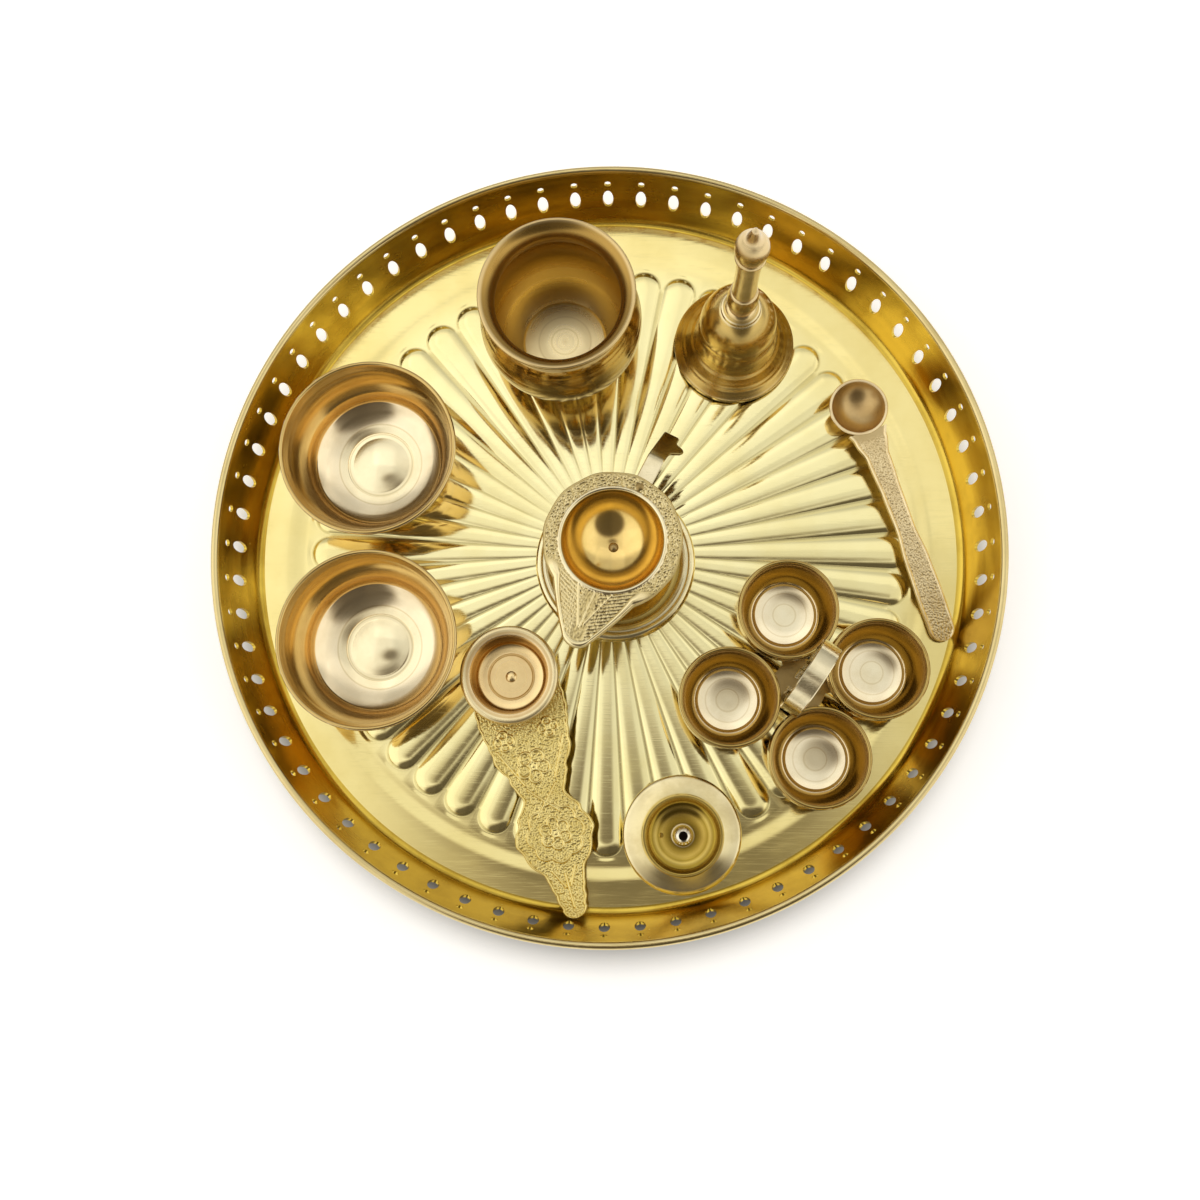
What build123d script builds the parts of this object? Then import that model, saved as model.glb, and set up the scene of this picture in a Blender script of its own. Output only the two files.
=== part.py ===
from build123d import *
import os
from math import atan2, cos, degrees, hypot, pi, radians, sin, sqrt

# Brass worship tray (puja thali) with the loose vessels that stand on it.
# Millimetres and degrees. Z is up, the table is z = 0, the plate's centre is the origin.

# Clearances
rest_gap = 0.3        # under a vessel that stands on the crests of the flutes
pin_gap = 0.1         # round a rivet, stud or tang in its hole
wire_gap = 0.3        # between the linked wires of the clapper

# Plate
rim_r = 152.5
plate_h = 30.0
sheet = 1.2
lip_bead_r = 1.5
wall_foot_r = 143.0
wall_bend_r = 4.0
floor_step_r = 130.0
floor_step_run = 6.0
floor_step_rise = 0.6
floor_bend_r = 20.0
flute_count = 48
flute_inner_r = 31.0
flute_outer_r = 120.0
flute_width = 13.0
flute_rise = 1.6
hole_pairs = 68
oval_w = 4.3
oval_h = 9.2
oval_up = 14.2        # from the wall's foot, along the wall
dot_d = 2.7
dot_up = 22.6

# Water pot
pot_x = -17.8
pot_y = 88.0
pot_h = 52.5
pot_wall = 1.3
pot_foot_r = 17.0
pot_belly_r = 31.6
pot_belly_z = 22.0
pot_neck_r = 25.0
pot_neck_z = 42.0
pot_mouth_r = 30.1
pot_lip_bead_r = 1.3

# Hand bell
bell_x = 51.6
bell_y = 86.2
bell_wall = 2.0
bell_lip_r = 24.3
bell_lip_h = 2.4
bell_waist_r = 14.8
bell_waist_z = 23.0
bell_flare_r = 17.6   # radius halfway up the flare
bell_flare_z = 9.5
bell_crown_r = 7.7
bell_crown_z = 40.0
bell_shoulder_r = 13.4
bell_shoulder_z = 33.0
bell_bead_r = 0.9
grip_flange_r = 7.7
grip_flange_t = 2.0
grip_neck_r = 4.8
grip_neck_z = 5.0     # heights on the grip are above the crown of the bell
grip_bulb_r = 6.0
grip_bulb_z = 10.5
grip_bulb_top = 16.0
grip_waist_r = 4.4
grip_waist_z = 31.0
grip_collar_r = 5.0
grip_collar_z = 46.5
grip_knob_r = 6.3
grip_knob_z = 55.0
grip_knob_top_r = 3.8
grip_knob_top = 62.0
grip_h = 67.5
tang_r = 2.0
tang_l = 3.2          # of the grip's tang, below the inside of the crown
eye_nut_r = 4.2
eye_nut_h = 4.0
eye_sink = 0.5        # how far the eye's wire is let into its nut
ring_r = 2.8          # wire rings of the clapper chain, to the middle of the wire
wire_r = 0.7
clapper_rod_r = 1.1
clapper_ball_r = 4.6
clapper_ball_z = 9.0
clapper_socket = 1.6  # depth of the rod's hole in the ball

# Spoon
spoon_x = 100.7
spoon_y = 57.4
spoon_turn = -70.6
spoon_bowl_r = 10.6
spoon_bowl_depth = 6.5
spoon_foot_r = 3.0    # of the bowl's underside, where it may touch
spoon_wall = 1.3
spoon_grip_l = 99.0
spoon_grip_t = 2.2
spoon_root_w = 15.0
spoon_neck_w = 9.4
spoon_neck_at = 22.0
spoon_waist_w = 7.6
spoon_waist_at = 50.0
spoon_blade_w = 10.4
spoon_blade_at = 72.0
spoon_arch = 2.6      # rise of the grip's back above its ends

# Two offering bowls
bowl_places = {"bowl_north": (-92.6, 36.1), "bowl_south": (-90.4, -39.0)}
bowl_h = 28.0
bowl_wall = 1.3
bowl_foot_r = 14.0
bowl_side_r = 22.6    # rounding of the lower body, halfway
bowl_side_z = 4.2
bowl_waist_r = 27.0
bowl_waist_z = 12.5
bowl_rim_r = 35.3
bowl_rim_bead_r = 0.9
bowl_step_r = 0.7     # turned bead inside, where the lower body starts

# Camphor burner
burner_x = -36.9
burner_y = -51.4
burner_turn = -73.8
burner_foot_r = 14.5
burner_foot_waist_r = 9.0
burner_foot_h = 6.0
burner_disc_r = 16.5
burner_plate_t = 2.2
burner_cup_h = 10.5
burner_cup_wall = 1.5
burner_cup_base_r = 14.2
burner_rim_r = 19.0
burner_rim_t = 2.0
burner_rivet_r = 1.2
burner_rivet_head_r = 2.2
burner_rivet_head_h = 0.7
handle_root_w = 36.0
handle_root_at = 14.0
handle_shoulder_w = 31.0
handle_shoulder_at = 31.0
handle_neck_w = 17.2
handle_neck_at = 48.0
handle_medal_w = 31.6
handle_medal_at = 62.5
handle_tail_w = 15.0
handle_tail_at = 79.0
handle_tip_w = 9.6
handle_tip_at = 92.0
handle_l = 95.2

# Oil lamp
lamp_x = 3.3
lamp_y = -4.1
lamp_turn = -110.0
lamp_base_r = 32.0
lamp_base_bead_r = 1.4
lamp_base_t = 1.6
lamp_dome_r = 24.5
lamp_dome_h = 7.0
lamp_stem_r = 5.2
lamp_stem_top_r = 7.0
lamp_stem_h = 27.5
lamp_bowl_r = 18.8
lamp_bowl_depth = 14.5
lamp_bowl_wall = 1.6
lamp_boss_r = 6.4
lamp_boss_drop = 1.2
leaf_r = 26.0
leaf_t = 2.0
leaf_edge_w = 1.6
leaf_edge_h = 0.7
spout_l = 42.2
spout_root_w = 38.0
spout_root_at = 14.0
spout_mid_w = 24.6
spout_mid_at = 27.0
spout_tip_w = 12.0
spout_tip_at = 38.6
lamp_screw_r = 1.5
lamp_screw_head_r = 2.0
lamp_screw_head_h = 0.9
lamp_screw_l = 9.0
strap_turn = 173.0    # of the lamp's own length, to the back
strap_w = 6.5
strap_t = 1.2
strap_from = 20.7
strap_level_to = 35.5
strap_out = 49.5
strap_down = 13.0
strap_bend_r = 3.0
prong_w = 4.4         # side tongue at the strap's end
prong_from = 42.0
prong_to = 46.5
prong_reach = 5.2
strap_rivet_at = 22.3
strap_rivet_r = 0.9
strap_rivet_head_r = 1.7
strap_rivet_head_h = 0.6

# Set of four small cups
set_x = 75.6
set_y = -54.3
set_turn = 11.0
set_arm = 28.7        # from the middle of the set to the middle of a cup
cup_names = ("cup_east", "cup_north", "cup_west", "cup_south")
cup_h = 18.0
cup_wall = 1.2
cup_base_r = 13.6
cup_side_r = 17.7
cup_side_z = 5.5
cup_rim_r = 19.9
cup_rim_bead_r = 0.75
arm_w = 9.0
arm_t = 1.5
arm_tail = 5.0        # of an arm, past the middle of its cup
hub_r = 10.5
cup_rivet_r = 1.2
cup_rivet_head_r = 2.2
cup_rivet_head_h = 0.7
loop_w = 7.5
loop_t = 1.2
loop_leg = 7.4        # of the loop's leg, from the middle of the set
loop_leg_h = 22.5
loop_r = 15.0
loop_foot_from = 2.0
loop_foot_bend = 1.8
loop_rivet_at = 3.8
loop_rivet_r = 1.0
loop_rivet_head_r = 1.7
loop_rivet_head_h = 0.8

# Incense stand
stand_x = 29.5
stand_y = -111.7
stand_foot_r = 23.3
stand_foot_edge = 1.2
stand_dome_r = 17.5
stand_dome_z = 5.2
stand_neck_r = 8.0
stand_neck_z = 8.0
stand_dish_r = 15.6
stand_dish_z = 14.0
stand_dish_t = 1.6
stand_dish_depth = 3.2
stand_boss_r = 4.6
stick_side_r = 1.0
stick_side_at = 8.2
stick_side_depth = 3.0
ball_r = 4.0
ball_neck_r = 2.9
ball_neck_h = 1.6
ball_stud_r = 1.6
ball_stud_l = 3.5
stick_r = 1.7
stick_depth = 6.5


# Shapes shared by several pieces
# A closed outline: a point is a straight run to it, a pair of points is an arc
# through the first to the second.
def outline(start, *steps):
    edges = []
    here = start
    for step in steps:
        if isinstance(step[0], tuple):
            edges.append(ThreePointArc(here, *step))
            here = step[1]
        else:
            edges.append(Line(here, step))
            here = step
    edges.append(Line(here, start))
    return make_face(edges)


# A half section, radius against height, turned once round.
def turned(section):
    return revolve(Plane.XZ * section, Axis.Z)


# The wall that lies to the left of a path of its outer side.
def wall_section(edges, wall):
    return make_face(Wire(edges).offset_2d(wall, side=Side.LEFT))


# A half outline above the X axis, with its mirror image.
def both_halves(half):
    return half + mirror(half, Plane.XZ)


def cylinder_between(radius, low, high):
    return Pos(0, 0, (low + high) / 2) * Cylinder(radius, high - low)


# A rivet or screw: its seat is z = 0, the domed head is above, the shank below.
def rivet(shank_r, head_r, head_h, length):
    ball = (head_r * head_r + head_h * head_h) / (2 * head_h)
    half_turn = atan2(head_r, ball - head_h) / 2
    middle = (ball * sin(half_turn), head_h - ball + ball * cos(half_turn))
    dome = outline((0, 0), (head_r, 0), (middle, (0, head_h)))
    return turned(dome) + cylinder_between(shank_r, -length, head_h / 2)


# Where a foot stands: on the plate's floor, on its outer step, or on the crests of the
# flutes, which rise from the middle of the plate outwards
flute_end_r = flute_outer_r - flute_width / 2


def seat_under(x, y, foot_r):
    away = hypot(x, y)
    under = sheet
    if away + foot_r > floor_step_r - floor_step_run:
        under = sheet + floor_step_rise
    if away - foot_r < flute_outer_r:
        reach = min(away + foot_r, flute_end_r)
        under = max(under, sheet + flute_rise * reach / flute_end_r)
    return under + rest_gap


# Two balls on the X axis and the cone that touches both, as one solid
def tapered_ridge(small_at, small_r, big_at, big_r):
    lean = (big_r - small_r) / (big_at - small_at)
    upright = sqrt(1 - lean * lean)
    rise = atan2(lean, upright)
    small_mid = pi - (pi / 2 - rise) / 2
    big_mid = (pi / 2 + rise) / 2
    half = outline(
        (small_at - small_r, 0),
        (
            (small_at + small_r * cos(small_mid), small_r * sin(small_mid)),
            (small_at - small_r * lean, small_r * upright),
        ),
        (big_at - big_r * lean, big_r * upright),
        (
            (big_at + big_r * cos(big_mid), big_r * sin(big_mid)),
            (big_at + big_r, 0),
        ),
    )
    return revolve(half, Axis.X)


# One flute: a ridge of round section that widens outwards from the plate's centre.
# The same ridge, thinner by the sheet, is the hollow that pressing leaves below.
def flute(thinner, low):
    half_w = flute_width / 2
    ball_r_full = (half_w * half_w + flute_rise * flute_rise) / (2 * flute_rise)
    sunk = ball_r_full - flute_rise
    reach = hypot(flute_end_r, sunk)
    share = flute_inner_r / (1 - half_w / flute_end_r) / flute_end_r
    ridge = tapered_ridge(reach * share, ball_r_full * share - thinner, reach, ball_r_full - thinner)
    ridge = Pos(0, 0, sheet) * Rot(0, degrees(atan2(sunk, flute_end_r)), 0) * ridge
    high = sheet + 2 * flute_rise
    return ridge & Pos(0, 0, (low + high) / 2) * Box(2 * rim_r, 2 * rim_r, high - low)


def round_plate(piece, count):
    return [Rot(0, 0, 360 * i / count) * piece for i in range(count)]


def thali_plate():
    bead = (rim_r - lip_bead_r, plate_h - lip_bead_r)
    run = bead[0] - wall_foot_r
    climb = bead[1] - floor_step_rise
    slant = hypot(run, climb)
    inward = (-climb / slant, run / slant)
    under = FilletPolyline(
        (0, 0),
        (floor_step_r - floor_step_run, 0),
        (floor_step_r, floor_step_rise),
        (wall_foot_r, floor_step_rise),
        (bead[0] - inward[0] * sheet / 2, bead[1] - inward[1] * sheet / 2),
        radius=[floor_bend_r, floor_bend_r, wall_bend_r],
    )
    section = wall_section(under.edges(), sheet) + Pos(*bead) * Circle(lip_bead_r)
    plate = turned(section) + round_plate(flute(0, sheet / 2), flute_count)
    plate = plate - round_plate(flute(sheet, -flute_rise), flute_count)

    def wall_hole(shape, up):
        share = up / slant
        middle = (wall_foot_r + run * share, 0, floor_step_rise + climb * share)
        face = Plane(origin=middle, x_dir=(0, 1, 0), z_dir=(inward[0], 0, inward[1]))
        return extrude(face * shape, 2 * sheet, both=True)

    ovals = round_plate(wall_hole(Ellipse(oval_w / 2, oval_h / 2), oval_up), hole_pairs)
    dots = round_plate(wall_hole(Circle(dot_d / 2), dot_up), hole_pairs)
    return plate - ovals - dots


def kalash():
    belly = ThreePointArc((pot_foot_r, 0), (pot_belly_r, pot_belly_z), (pot_neck_r, pot_neck_z))
    lip = (pot_mouth_r - pot_lip_bead_r, pot_h - pot_lip_bead_r)
    flare = TangentArc((pot_neck_r, pot_neck_z), lip, tangent=belly % 1)
    section = wall_section([Line((0, 0), (pot_foot_r, 0)), belly, flare], pot_wall)
    section += Pos(*lip) * Circle(pot_lip_bead_r)
    return Pos(pot_x, pot_y, seat_under(pot_x, pot_y, pot_foot_r)) * turned(section)


bell_z = seat_under(bell_x, bell_y, bell_lip_r)
bell_place = Pos(bell_x, bell_y, bell_z)
crown_inside = bell_crown_z - bell_wall
eye_z = crown_inside - eye_nut_h - ring_r - wire_r + eye_sink
wire_step = 2 * wire_r + wire_gap
link_pivot_z = eye_z - ring_r
link_z = link_pivot_z + wire_step - ring_r
clapper_pivot_z = link_z - ring_r
clapper_eye_z = clapper_pivot_z + wire_step - ring_r


def bell_body():
    lip_top = (bell_lip_r, bell_lip_h)
    waist = (bell_waist_r, bell_waist_z)
    crown = (bell_crown_r, bell_crown_z)
    flare = ThreePointArc(lip_top, (bell_flare_r, bell_flare_z), waist)
    shoulder = ThreePointArc(waist, (bell_shoulder_r, bell_shoulder_z), crown)
    path = [Line((bell_lip_r, 0), lip_top), flare, shoulder, Line(crown, (0, bell_crown_z))]
    section = wall_section(path, bell_wall)
    section += Pos(*waist) * Circle(bell_bead_r)
    section += Pos(bell_flare_r, bell_flare_z) * Circle(bell_bead_r)
    hole = cylinder_between(tang_r + pin_gap, crown_inside - bell_wall, bell_crown_z + bell_wall)
    return bell_place * (turned(section) - hole)


def bell_handle():
    section = outline(
        (0, 0),
        (grip_flange_r, 0),
        (grip_flange_r, grip_flange_t),
        (grip_neck_r, grip_neck_z),
        ((grip_bulb_r, grip_bulb_z), (grip_neck_r, grip_bulb_top)),
        ((grip_waist_r, grip_waist_z), (grip_collar_r, grip_collar_z)),
        ((grip_knob_r, grip_knob_z), (grip_knob_top_r, grip_knob_top)),
        (0, grip_h),
    )
    tang = cylinder_between(tang_r, -bell_wall - tang_l, grip_flange_t)
    return bell_place * Pos(0, 0, bell_crown_z) * (turned(section) + tang)


def bell_eye():
    nut = cylinder_between(eye_nut_r, crown_inside - eye_nut_h, crown_inside)
    tang_hole = cylinder_between(tang_r + pin_gap, crown_inside - tang_l - pin_gap, crown_inside)
    eye = Pos(0, 0, eye_z) * Rot(90, 0, 0) * Torus(ring_r, wire_r)
    return bell_place * (nut + eye - tang_hole)


def clapper_link():
    return bell_place * Pos(0, 0, link_z) * Rot(0, 90, 0) * Torus(ring_r, wire_r)


def clapper_rod():
    eye = Pos(0, 0, clapper_eye_z) * Rot(90, 0, 0) * Torus(ring_r, wire_r)
    low = clapper_ball_z + clapper_ball_r - clapper_socket
    rod = cylinder_between(clapper_rod_r, low, clapper_eye_z - ring_r)
    return bell_place * (eye + rod)


def clapper_ball():
    top = clapper_ball_z + clapper_ball_r
    socket = cylinder_between(clapper_rod_r + pin_gap, top - clapper_socket, top)
    return bell_place * (Pos(0, 0, clapper_ball_z) * Sphere(clapper_ball_r) - socket)


# The bowl and the grip's tip both lie on the plate
def spoon():
    spoon_z = seat_under(spoon_x, spoon_y, spoon_foot_r)
    tip_x = spoon_x + spoon_grip_l * cos(radians(spoon_turn))
    tip_y = spoon_y + spoon_grip_l * sin(radians(spoon_turn))
    tip_top = seat_under(tip_x, tip_y, spoon_foot_r) - spoon_z + spoon_grip_t
    rim_z = spoon_bowl_depth + spoon_wall
    ball = (spoon_bowl_r * spoon_bowl_r + spoon_bowl_depth * spoon_bowl_depth) / (2 * spoon_bowl_depth)
    lift = Pos(0, 0, rim_z - spoon_bowl_depth + ball)
    above = Pos(0, 0, rim_z + ball) * Box(4 * ball, 4 * ball, 2 * ball)
    hollow = lift * Sphere(ball)
    grip_plan = both_halves(
        outline(
            (spoon_bowl_r / 2, 0),
            (spoon_bowl_r / 2, spoon_root_w / 2),
            ((spoon_neck_at, spoon_neck_w / 2), (spoon_waist_at, spoon_waist_w / 2)),
            (spoon_blade_at, spoon_blade_w / 2),
            (spoon_grip_l - spoon_blade_w / 2, spoon_blade_w / 2),
            (
                (
                    spoon_grip_l - spoon_blade_w / 2 * (1 - cos(pi / 4)),
                    spoon_blade_w / 2 * sin(pi / 4),
                ),
                (spoon_grip_l, 0),
            ),
        )
    )
    back = ThreePointArc(
        (0, rim_z),
        (spoon_grip_l / 2, (rim_z + tip_top) / 2 + spoon_arch),
        (spoon_grip_l + spoon_wall, tip_top),
    )
    side = make_face(Wire([back]).offset_2d(spoon_grip_t, side=Side.RIGHT))
    grip = extrude(grip_plan, 3 * rim_z) & extrude(Plane.XZ * side, spoon_blade_w + spoon_root_w, both=True)
    cup = lift * Sphere(ball + spoon_wall)
    whole = cup - above + grip - hollow
    return Pos(spoon_x, spoon_y, spoon_z) * Rot(0, 0, spoon_turn) * whole


def offering_bowl(x, y):
    side = ThreePointArc((bowl_foot_r, 0), (bowl_side_r, bowl_side_z), (bowl_waist_r, bowl_waist_z))
    lip = (bowl_rim_r - bowl_rim_bead_r, bowl_h - bowl_rim_bead_r)
    flare = TangentArc((bowl_waist_r, bowl_waist_z), lip, tangent=side % 1)
    section = wall_section([Line((0, 0), (bowl_foot_r, 0)), side, flare], bowl_wall)
    section += Pos(*lip) * Circle(bowl_rim_bead_r)
    section += Pos(bowl_waist_r - bowl_wall, bowl_waist_z) * Circle(bowl_step_r)
    return Pos(x, y, seat_under(x, y, bowl_foot_r)) * turned(section)


burner_z = seat_under(burner_x, burner_y, burner_foot_r)
burner_place = Pos(burner_x, burner_y, burner_z) * Rot(0, 0, burner_turn)
burner_plate_z = burner_foot_h
burner_cup_z = burner_plate_z + burner_plate_t


def burner_foot():
    waist = (burner_foot_waist_r, burner_foot_h)
    edge = (burner_foot_r, 0)
    cove = TangentArc(waist, edge, tangent=(0, -1))
    section = make_face([cove, Polyline(edge, (0, 0), (0, burner_foot_h), waist)])
    hole = cylinder_between(burner_rivet_r + pin_gap, -burner_foot_h, 2 * burner_foot_h)
    return burner_place * (turned(section) - hole)


def burner_handle():
    blade = both_halves(
        outline(
            (0, 0),
            (handle_root_at, handle_root_w / 2),
            (handle_shoulder_at, handle_shoulder_w / 2),
            (handle_neck_at, handle_neck_w / 2),
            (
                (handle_medal_at, handle_medal_w / 2),
                (handle_tail_at, handle_tail_w / 2),
            ),
            (handle_tip_at, handle_tip_w / 2),
            (
                (
                    handle_tip_at + (handle_l - handle_tip_at) * sin(pi / 3),
                    handle_tip_w / 2 * cos(pi / 3),
                ),
                (handle_l, 0),
            ),
        )
    )
    plan = blade + Circle(burner_disc_r) - Circle(burner_rivet_r + pin_gap)
    return burner_place * Pos(0, 0, burner_plate_z) * extrude(plan, burner_plate_t)


def burner_cup():
    inside_base_r = burner_cup_base_r - burner_cup_wall
    inside_rim_r = burner_rim_r - 2 * burner_rim_t
    section = outline(
        (burner_rivet_r + pin_gap, 0),
        (burner_cup_base_r, 0),
        (inside_rim_r + burner_cup_wall, burner_cup_h - burner_rim_t),
        (burner_rim_r - burner_rim_t / 2, burner_cup_h - burner_rim_t),
        (
            (burner_rim_r, burner_cup_h - burner_rim_t / 2),
            (burner_rim_r - burner_rim_t / 2, burner_cup_h),
        ),
        (inside_rim_r, burner_cup_h),
        (inside_base_r, burner_cup_wall),
        (burner_rivet_r + pin_gap, burner_cup_wall),
    )
    return burner_place * Pos(0, 0, burner_cup_z) * turned(section)


def burner_rivet():
    floor_z = burner_cup_z + burner_cup_wall
    pin = rivet(burner_rivet_r, burner_rivet_head_r, burner_rivet_head_h, floor_z)
    return burner_place * Pos(0, 0, floor_z) * pin


lamp_z = seat_under(lamp_x, lamp_y, lamp_base_r)
lamp_place = Pos(lamp_x, lamp_y, lamp_z) * Rot(0, 0, lamp_turn)
lamp_boss_z = lamp_stem_h
lamp_floor_z = lamp_boss_z + lamp_boss_drop + lamp_bowl_wall
leaf_top_z = lamp_floor_z + lamp_bowl_depth


def lamp_pedestal():
    edge_r = lamp_base_r - lamp_base_bead_r
    section = outline(
        (0, 0),
        (edge_r, 0),
        (edge_r, lamp_base_t),
        (lamp_dome_r, lamp_base_t),
        (
            (
                lamp_stem_r + (lamp_dome_r - lamp_stem_r) * (1 - cos(pi / 4)),
                lamp_base_t + lamp_dome_h * (1 - sin(pi / 4)),
            ),
            (lamp_stem_r, lamp_base_t + lamp_dome_h),
        ),
        (lamp_stem_r, (lamp_base_t + lamp_dome_h + lamp_stem_h) / 2),
        (lamp_stem_top_r, lamp_stem_h),
        (0, lamp_stem_h),
    )
    section += Pos(edge_r, lamp_base_bead_r) * Circle(lamp_base_bead_r)
    hole = cylinder_between(lamp_screw_r + pin_gap, lamp_floor_z - lamp_screw_l - pin_gap, 2 * lamp_stem_h)
    return lamp_place * (turned(section) - hole)


def leaf_plan(inset):
    spout = both_halves(
        outline(
            (0, 0),
            (spout_root_at - inset, spout_root_w / 2 - inset),
            (
                (spout_mid_at - inset, spout_mid_w / 2 - inset),
                (spout_tip_at - inset, spout_tip_w / 2 - inset),
            ),
            (
                (
                    spout_tip_at - inset + (spout_l - spout_tip_at) * sin(pi / 3),
                    (spout_tip_w / 2 - inset) * cos(pi / 3),
                ),
                (spout_l - inset, 0),
            ),
        )
    )
    return spout + Circle(leaf_r - inset)


def lamp_leaf():
    ball = (lamp_bowl_r * lamp_bowl_r + lamp_bowl_depth * lamp_bowl_depth) / (2 * lamp_bowl_depth)
    centre = Pos(0, 0, lamp_floor_z + ball)
    plate = extrude(leaf_plan(0), leaf_t)
    border = extrude(leaf_plan(0) - leaf_plan(leaf_edge_w), leaf_t + leaf_edge_h)
    deck = Pos(0, 0, leaf_top_z - leaf_t) * (plate + border)
    cut = leaf_top_z - leaf_t / 2
    above = Pos(0, 0, cut + ball) * Box(4 * ball, 4 * ball, 2 * ball)
    cup = centre * Sphere(ball + lamp_bowl_wall) - above
    boss = cylinder_between(lamp_boss_r, lamp_boss_z, lamp_floor_z + lamp_bowl_wall)
    screw_hole = cylinder_between(lamp_screw_r + pin_gap, 0, 2 * lamp_stem_h)
    screw_hole += cylinder_between(lamp_screw_head_r + pin_gap, lamp_floor_z, leaf_top_z)
    rivet_place = strap_turned * Pos(strap_rivet_at, 0, leaf_top_z)
    rivet_hole = rivet_place * Cylinder(strap_rivet_r + pin_gap, 4 * leaf_t)
    return lamp_place * (deck + cup + boss - centre * Sphere(ball) - screw_hole - rivet_hole)


def lamp_screw():
    pin = rivet(lamp_screw_r, lamp_screw_head_r, lamp_screw_head_h, lamp_screw_l)
    return lamp_place * Pos(0, 0, lamp_floor_z) * pin


strap_turned = Rot(0, 0, strap_turn)
strap_z = leaf_top_z - leaf_t


# Strap under the back of the leaf: level, then bent down, with a round tongue at one side
def lamp_handle():
    bend = (strap_level_to, 0)
    path = FilletPolyline((strap_from, 0), bend, (strap_out, -strap_down), radius=strap_bend_r)
    side = make_face(path.offset_2d(strap_t, side=Side.RIGHT))
    reach = strap_out + strap_t
    plan = Pos(reach / 2, 0) * Rectangle(reach, strap_w)
    tongue_end = Pos(prong_to, -prong_reach) * Circle(prong_w / 2)
    tongue_root = Pos(prong_from, 0) * Circle(prong_w / 2)
    plan += make_hull((tongue_end + tongue_root).edges())
    strap = extrude(Plane.XZ * side, prong_reach + prong_w, both=True)
    strap = strap & Pos(0, 0, -2 * strap_down) * extrude(plan, 4 * strap_down)
    hole = Pos(strap_rivet_at, 0, 0) * Cylinder(strap_rivet_r + pin_gap, 4 * strap_t)
    return lamp_place * Pos(0, 0, strap_z) * strap_turned * (strap - hole)


def lamp_handle_rivet():
    pin = rivet(strap_rivet_r, strap_rivet_head_r, strap_rivet_head_h, leaf_t + strap_t)
    return lamp_place * strap_turned * Pos(strap_rivet_at, 0, leaf_top_z) * pin


set_z = seat_under(set_x, set_y, set_arm)
set_place = Pos(set_x, set_y, set_z) * Rot(0, 0, set_turn)
cup_turns = [Rot(0, 0, 360 * i / len(cup_names)) for i in range(len(cup_names))]
loop_turned = Rot(0, 0, 180 / len(cup_names))


# The cups' rivets are ground flush: the head is a cone sunk in the cup's floor
def flush_head(top, wider):
    cone = outline(
        (0, top - cup_rivet_head_h),
        (cup_rivet_r + wider, top - cup_rivet_head_h),
        (cup_rivet_head_r + wider, top),
        (0, top),
    )
    return turned(cone)


def small_cup(turn):
    lip = (cup_rim_r - cup_rim_bead_r, cup_h - cup_rim_bead_r)
    side = ThreePointArc((cup_base_r, 0), (cup_side_r, cup_side_z), lip)
    section = wall_section([Line((0, 0), (cup_base_r, 0)), side], cup_wall)
    section += Pos(*lip) * Circle(cup_rim_bead_r)
    hole = cylinder_between(cup_rivet_r + pin_gap, -cup_wall, 2 * cup_wall)
    hole += flush_head(cup_wall, pin_gap)
    return set_place * turn * Pos(set_arm, 0, arm_t) * (turned(section) - hole)


def cup_frame():
    length = set_arm + arm_tail
    arm = Pos(length / 2, 0) * Rectangle(length, arm_w) - Pos(set_arm, 0) * Circle(cup_rivet_r + pin_gap)
    plan = Circle(hub_r)
    for turn in cup_turns:
        plan += turn * arm
    for end in (-1, 1):
        plan -= loop_turned * Pos(end * loop_rivet_at, 0) * Circle(loop_rivet_r + pin_gap)
    return set_place * extrude(plan, arm_t)


def cup_rivets():
    top = arm_t + cup_wall
    pin = cylinder_between(cup_rivet_r, 0, top) + flush_head(top, 0)
    pins = [set_place * turn * Pos(set_arm, 0, 0) * pin for turn in cup_turns]
    return Compound(children=pins)


# Finger loop: a strap with two feet on the hub, two legs between the cups and a round top
def cup_handle():
    ring_low = sqrt(loop_r * loop_r - loop_leg * loop_leg)
    top = loop_leg_h + ring_low + loop_r
    right = [
        FilletPolyline((loop_foot_from, 0), (loop_leg, 0), (loop_leg, loop_leg_h), radius=loop_foot_bend),
        ThreePointArc(
            (loop_leg, loop_leg_h),
            (loop_r, loop_leg_h + ring_low),
            (0, top),
        ),
    ]
    half = make_face(Wire(right[0].edges() + right[1].edges()).offset_2d(loop_t, side=Side.LEFT))
    strap = extrude(Plane.XZ * half, loop_w / 2, both=True)
    strap = strap + mirror(strap, Plane.YZ)
    for end in (-1, 1):
        strap = strap - Pos(end * loop_rivet_at, 0, 0) * Cylinder(loop_rivet_r + pin_gap, 4 * loop_t)
    return set_place * loop_turned * Pos(0, 0, arm_t) * strap


def cup_handle_rivets():
    pin = rivet(loop_rivet_r, loop_rivet_head_r, loop_rivet_head_h, loop_t + arm_t)
    seat = arm_t + loop_t
    return Compound(
        children=[set_place * loop_turned * Pos(end * loop_rivet_at, 0, seat) * pin for end in (-1, 1)]
    )


stand_place = Pos(stand_x, stand_y, seat_under(stand_x, stand_y, stand_foot_r))
stand_dish_floor = stand_dish_z - stand_dish_depth


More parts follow.
